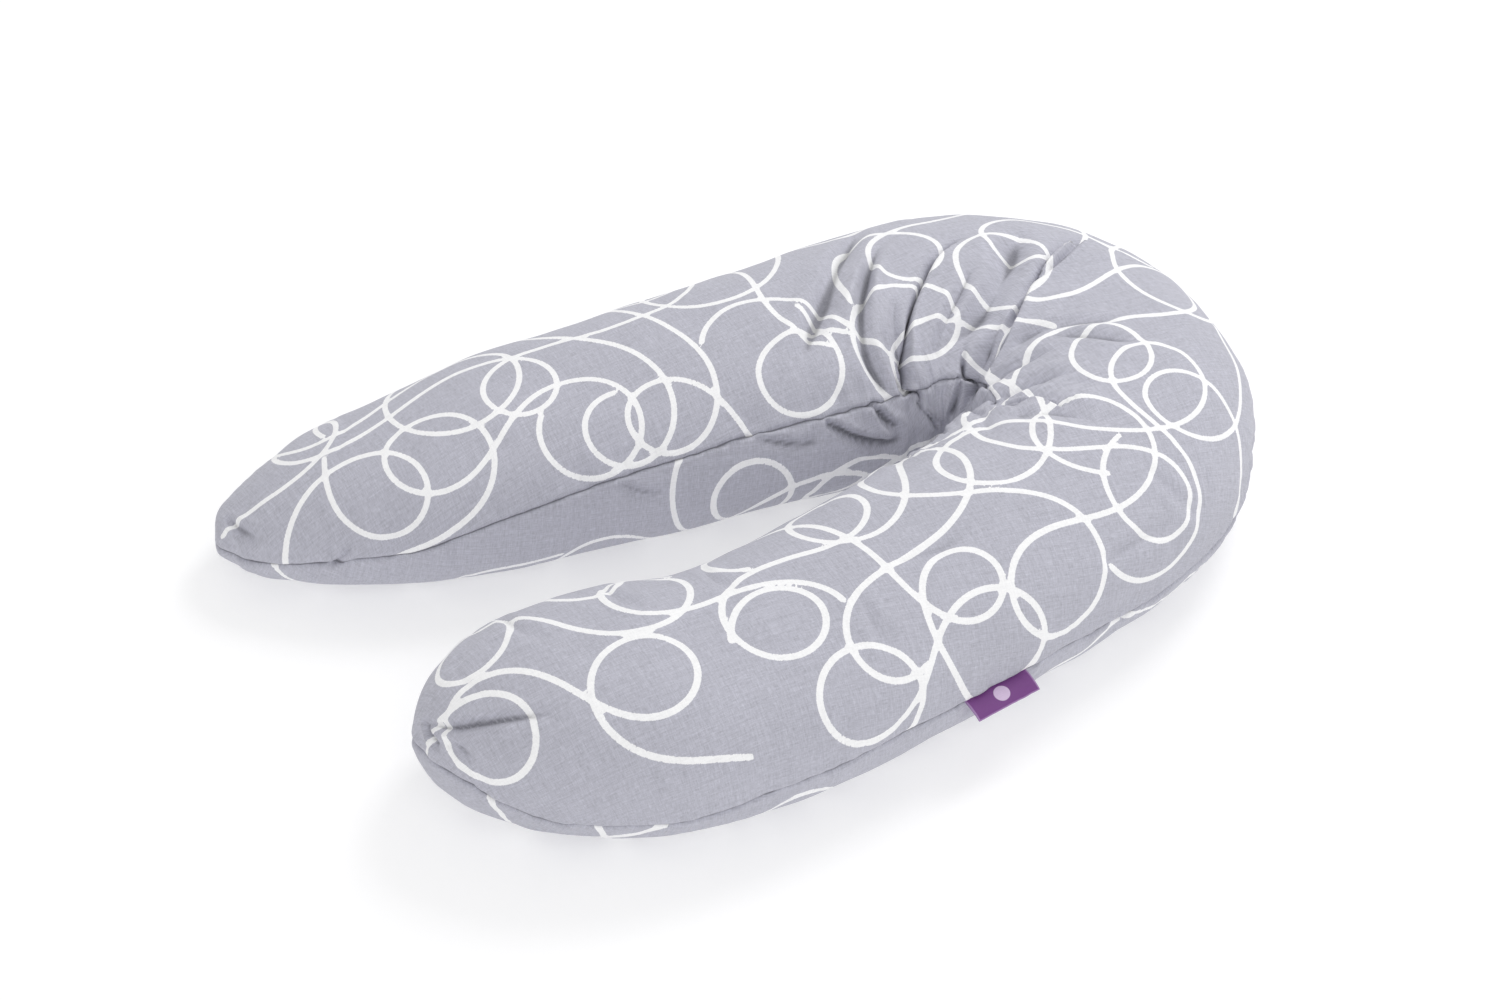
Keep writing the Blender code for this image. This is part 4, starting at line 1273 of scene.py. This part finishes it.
def tape_cloth():
    N = Nodes("zip_tape_cloth")
    uv = N.uv("cloth")
    s = N.split(uv)
    rib = N.math("ABSOLUTE", N.math("SINE", N.math("MULTIPLY", s[1], math.pi / 0.0008)))
    cross = N.math("ABSOLUTE", N.math("SINE", N.math("MULTIPLY", s[0], math.pi / 0.0005)))
    dash = N.math("GREATER_THAN", N.math("SINE", N.math("MULTIPLY", s[0], 2 * math.pi / 0.0026)), -0.55)
    row = N.math("LESS_THAN", N.math("ABSOLUTE", N.math("SUBTRACT", s[1], 0.0078)), 0.00024)
    stitch = N.math("MULTIPLY", dash, row)
    yarn = N.noise(N.scaled(uv, 1 / 0.004, 1 / 0.0006), 1.0, 2.0)
    gain = N.math("ADD", 0.88, N.math("ADD", N.math("MULTIPLY", rib, 0.13), N.ramp(yarn, 0.3, 0.7, -0.05, 0.05)))
    colour = N.mix(1.0, srgb(186, 186, 196), N.combine(gain), "MULTIPLY")
    colour = N.mix(stitch, colour, srgb(205, 205, 210))
    h = N.math("ADD", N.math("ADD", N.math("MULTIPLY", rib, 0.6), N.math("MULTIPLY", cross, 0.25)), N.math("MULTIPLY", stitch, 0.8))
    return N.shader(base=colour, rough=N.ramp(yarn, 0.3, 0.7, 0.72, 0.86), spec=0.3, sheen=0.15, sheen_rough=0.4, normal=N.bump(h, 0.00022, 0.9))


def nylon():
    N = Nodes("zip_coil_nylon")
    tc = N.t.nodes.new("ShaderNodeTexCoord").outputs["Object"]
    f = N.noise(tc, 900.0, 2.0)
    colour = N.mix(N.ramp(f, 0.3, 0.7, 0.0, 1.0), srgb(150, 150, 160), srgb(168, 168, 177))
    return N.shader(base=colour, rough=N.ramp(f, 0.3, 0.7, 0.30, 0.45), spec=0.5)


def metal():
    N = Nodes("zip_metal_nickel")
    tc = N.t.nodes.new("ShaderNodeTexCoord").outputs["Object"]
    f = N.noise(N.scaled(tc, 400, 2400, 2400), 1.0, 3.0)
    g = N.noise(tc, 300.0, 3.0)
    colour = N.mix(N.ramp(g, 0.35, 0.65, 0.0, 1.0), srgb(176, 177, 182), srgb(203, 204, 208))
    return N.shader(base=colour, metal=1.0, rough=N.ramp(f, 0.3, 0.7, 0.24, 0.42), normal=N.bump(f, 0.00003, 0.5))


TAPE, NYLON, METAL = tape_cloth(), nylon(), metal()
for nm, node, sgn, make, mat, slot in (
        ("zip_tape_upper_woven", "zip_tape_upper", 1, tape, TAPE, "zip_tape"),
        ("zip_tape_lower_woven", "zip_tape_lower", -1, tape, TAPE, "zip_tape"),
        ("zip_coil_upper_wound", "zip_coil_upper", 1, coil, NYLON, "zip_coil"),
        ("zip_coil_lower_wound", "zip_coil_lower", -1, coil, NYLON, "zip_coil")):
    ob = make(nm, sgn)
    ob.data.materials.append(mat)
    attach(ob, "back_arm")
    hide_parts(node)

for node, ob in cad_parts.items():
    if node in ("zip_top_stop", "zip_bottom_stop", "zip_slider", "zip_pull"):
        if not ob.material_slots:
            ob.data.materials.append(METAL)
        for ms in ob.material_slots:
            ms.material = METAL
        bev = ob.modifiers.new("worn_edges", "BEVEL")
        bev.width = 0.00018
        bev.segments = 2
        bev.limit_method = "ANGLE"
        bev.angle_limit = math.radians(35)
        bev.harden_normals = False


# ------------------------------------------------------------------ floor and light
floor_mesh = bpy.data.meshes.new("floor")
floor_mesh.from_pydata([(-9, -9, 0), (9, -9, 0), (9, 9, 0), (-9, 9, 0)], [], [(0, 1, 2, 3)])
floor = bpy.data.objects.new("floor", floor_mesh)
floor.location = (0, 0, -0.0002)
bpy.context.scene.collection.objects.link(floor)
fm = Nodes("floor_white")
fm.bsdf.inputs["Emission Color"].default_value = (1, 1, 1, 1)
fm.bsdf.inputs["Emission Strength"].default_value = 0.42
floor_mesh.materials.append(fm.shader(base=(0.64, 0.64, 0.645, 1), rough=0.9, spec=0.1))

world = bpy.data.worlds.new("studio")
world.use_nodes = True
bg = world.node_tree.nodes["Background"]
bg.inputs[0].default_value = (1.0, 1.0, 1.0, 1)
bg.inputs[1].default_value = 0.72
bpy.context.scene.world = world


def area(name, at, look, size, power):
    d = bpy.data.lights.new(name, "AREA")
    d.shape = "RECTANGLE"
    d.size, d.size_y = size
    d.energy = power
    o = bpy.data.objects.new(name, d)
    bpy.context.scene.collection.objects.link(o)
    v = Vector(look) - Vector(at)
    o.rotation_euler = v.to_track_quat("-Z", "Y").to_euler()
    o.location = at
    return o


area("key", (2.0, 1.0, 2.6), (0.0, 0.0, 0.0), (1.4, 1.4), 39)
area("front", (-0.4, -2.2, 2.0), (0.0, 0.0, 0.0), (2.0, 1.4), 13)
bpy.context.scene.view_settings.view_transform = "Standard"
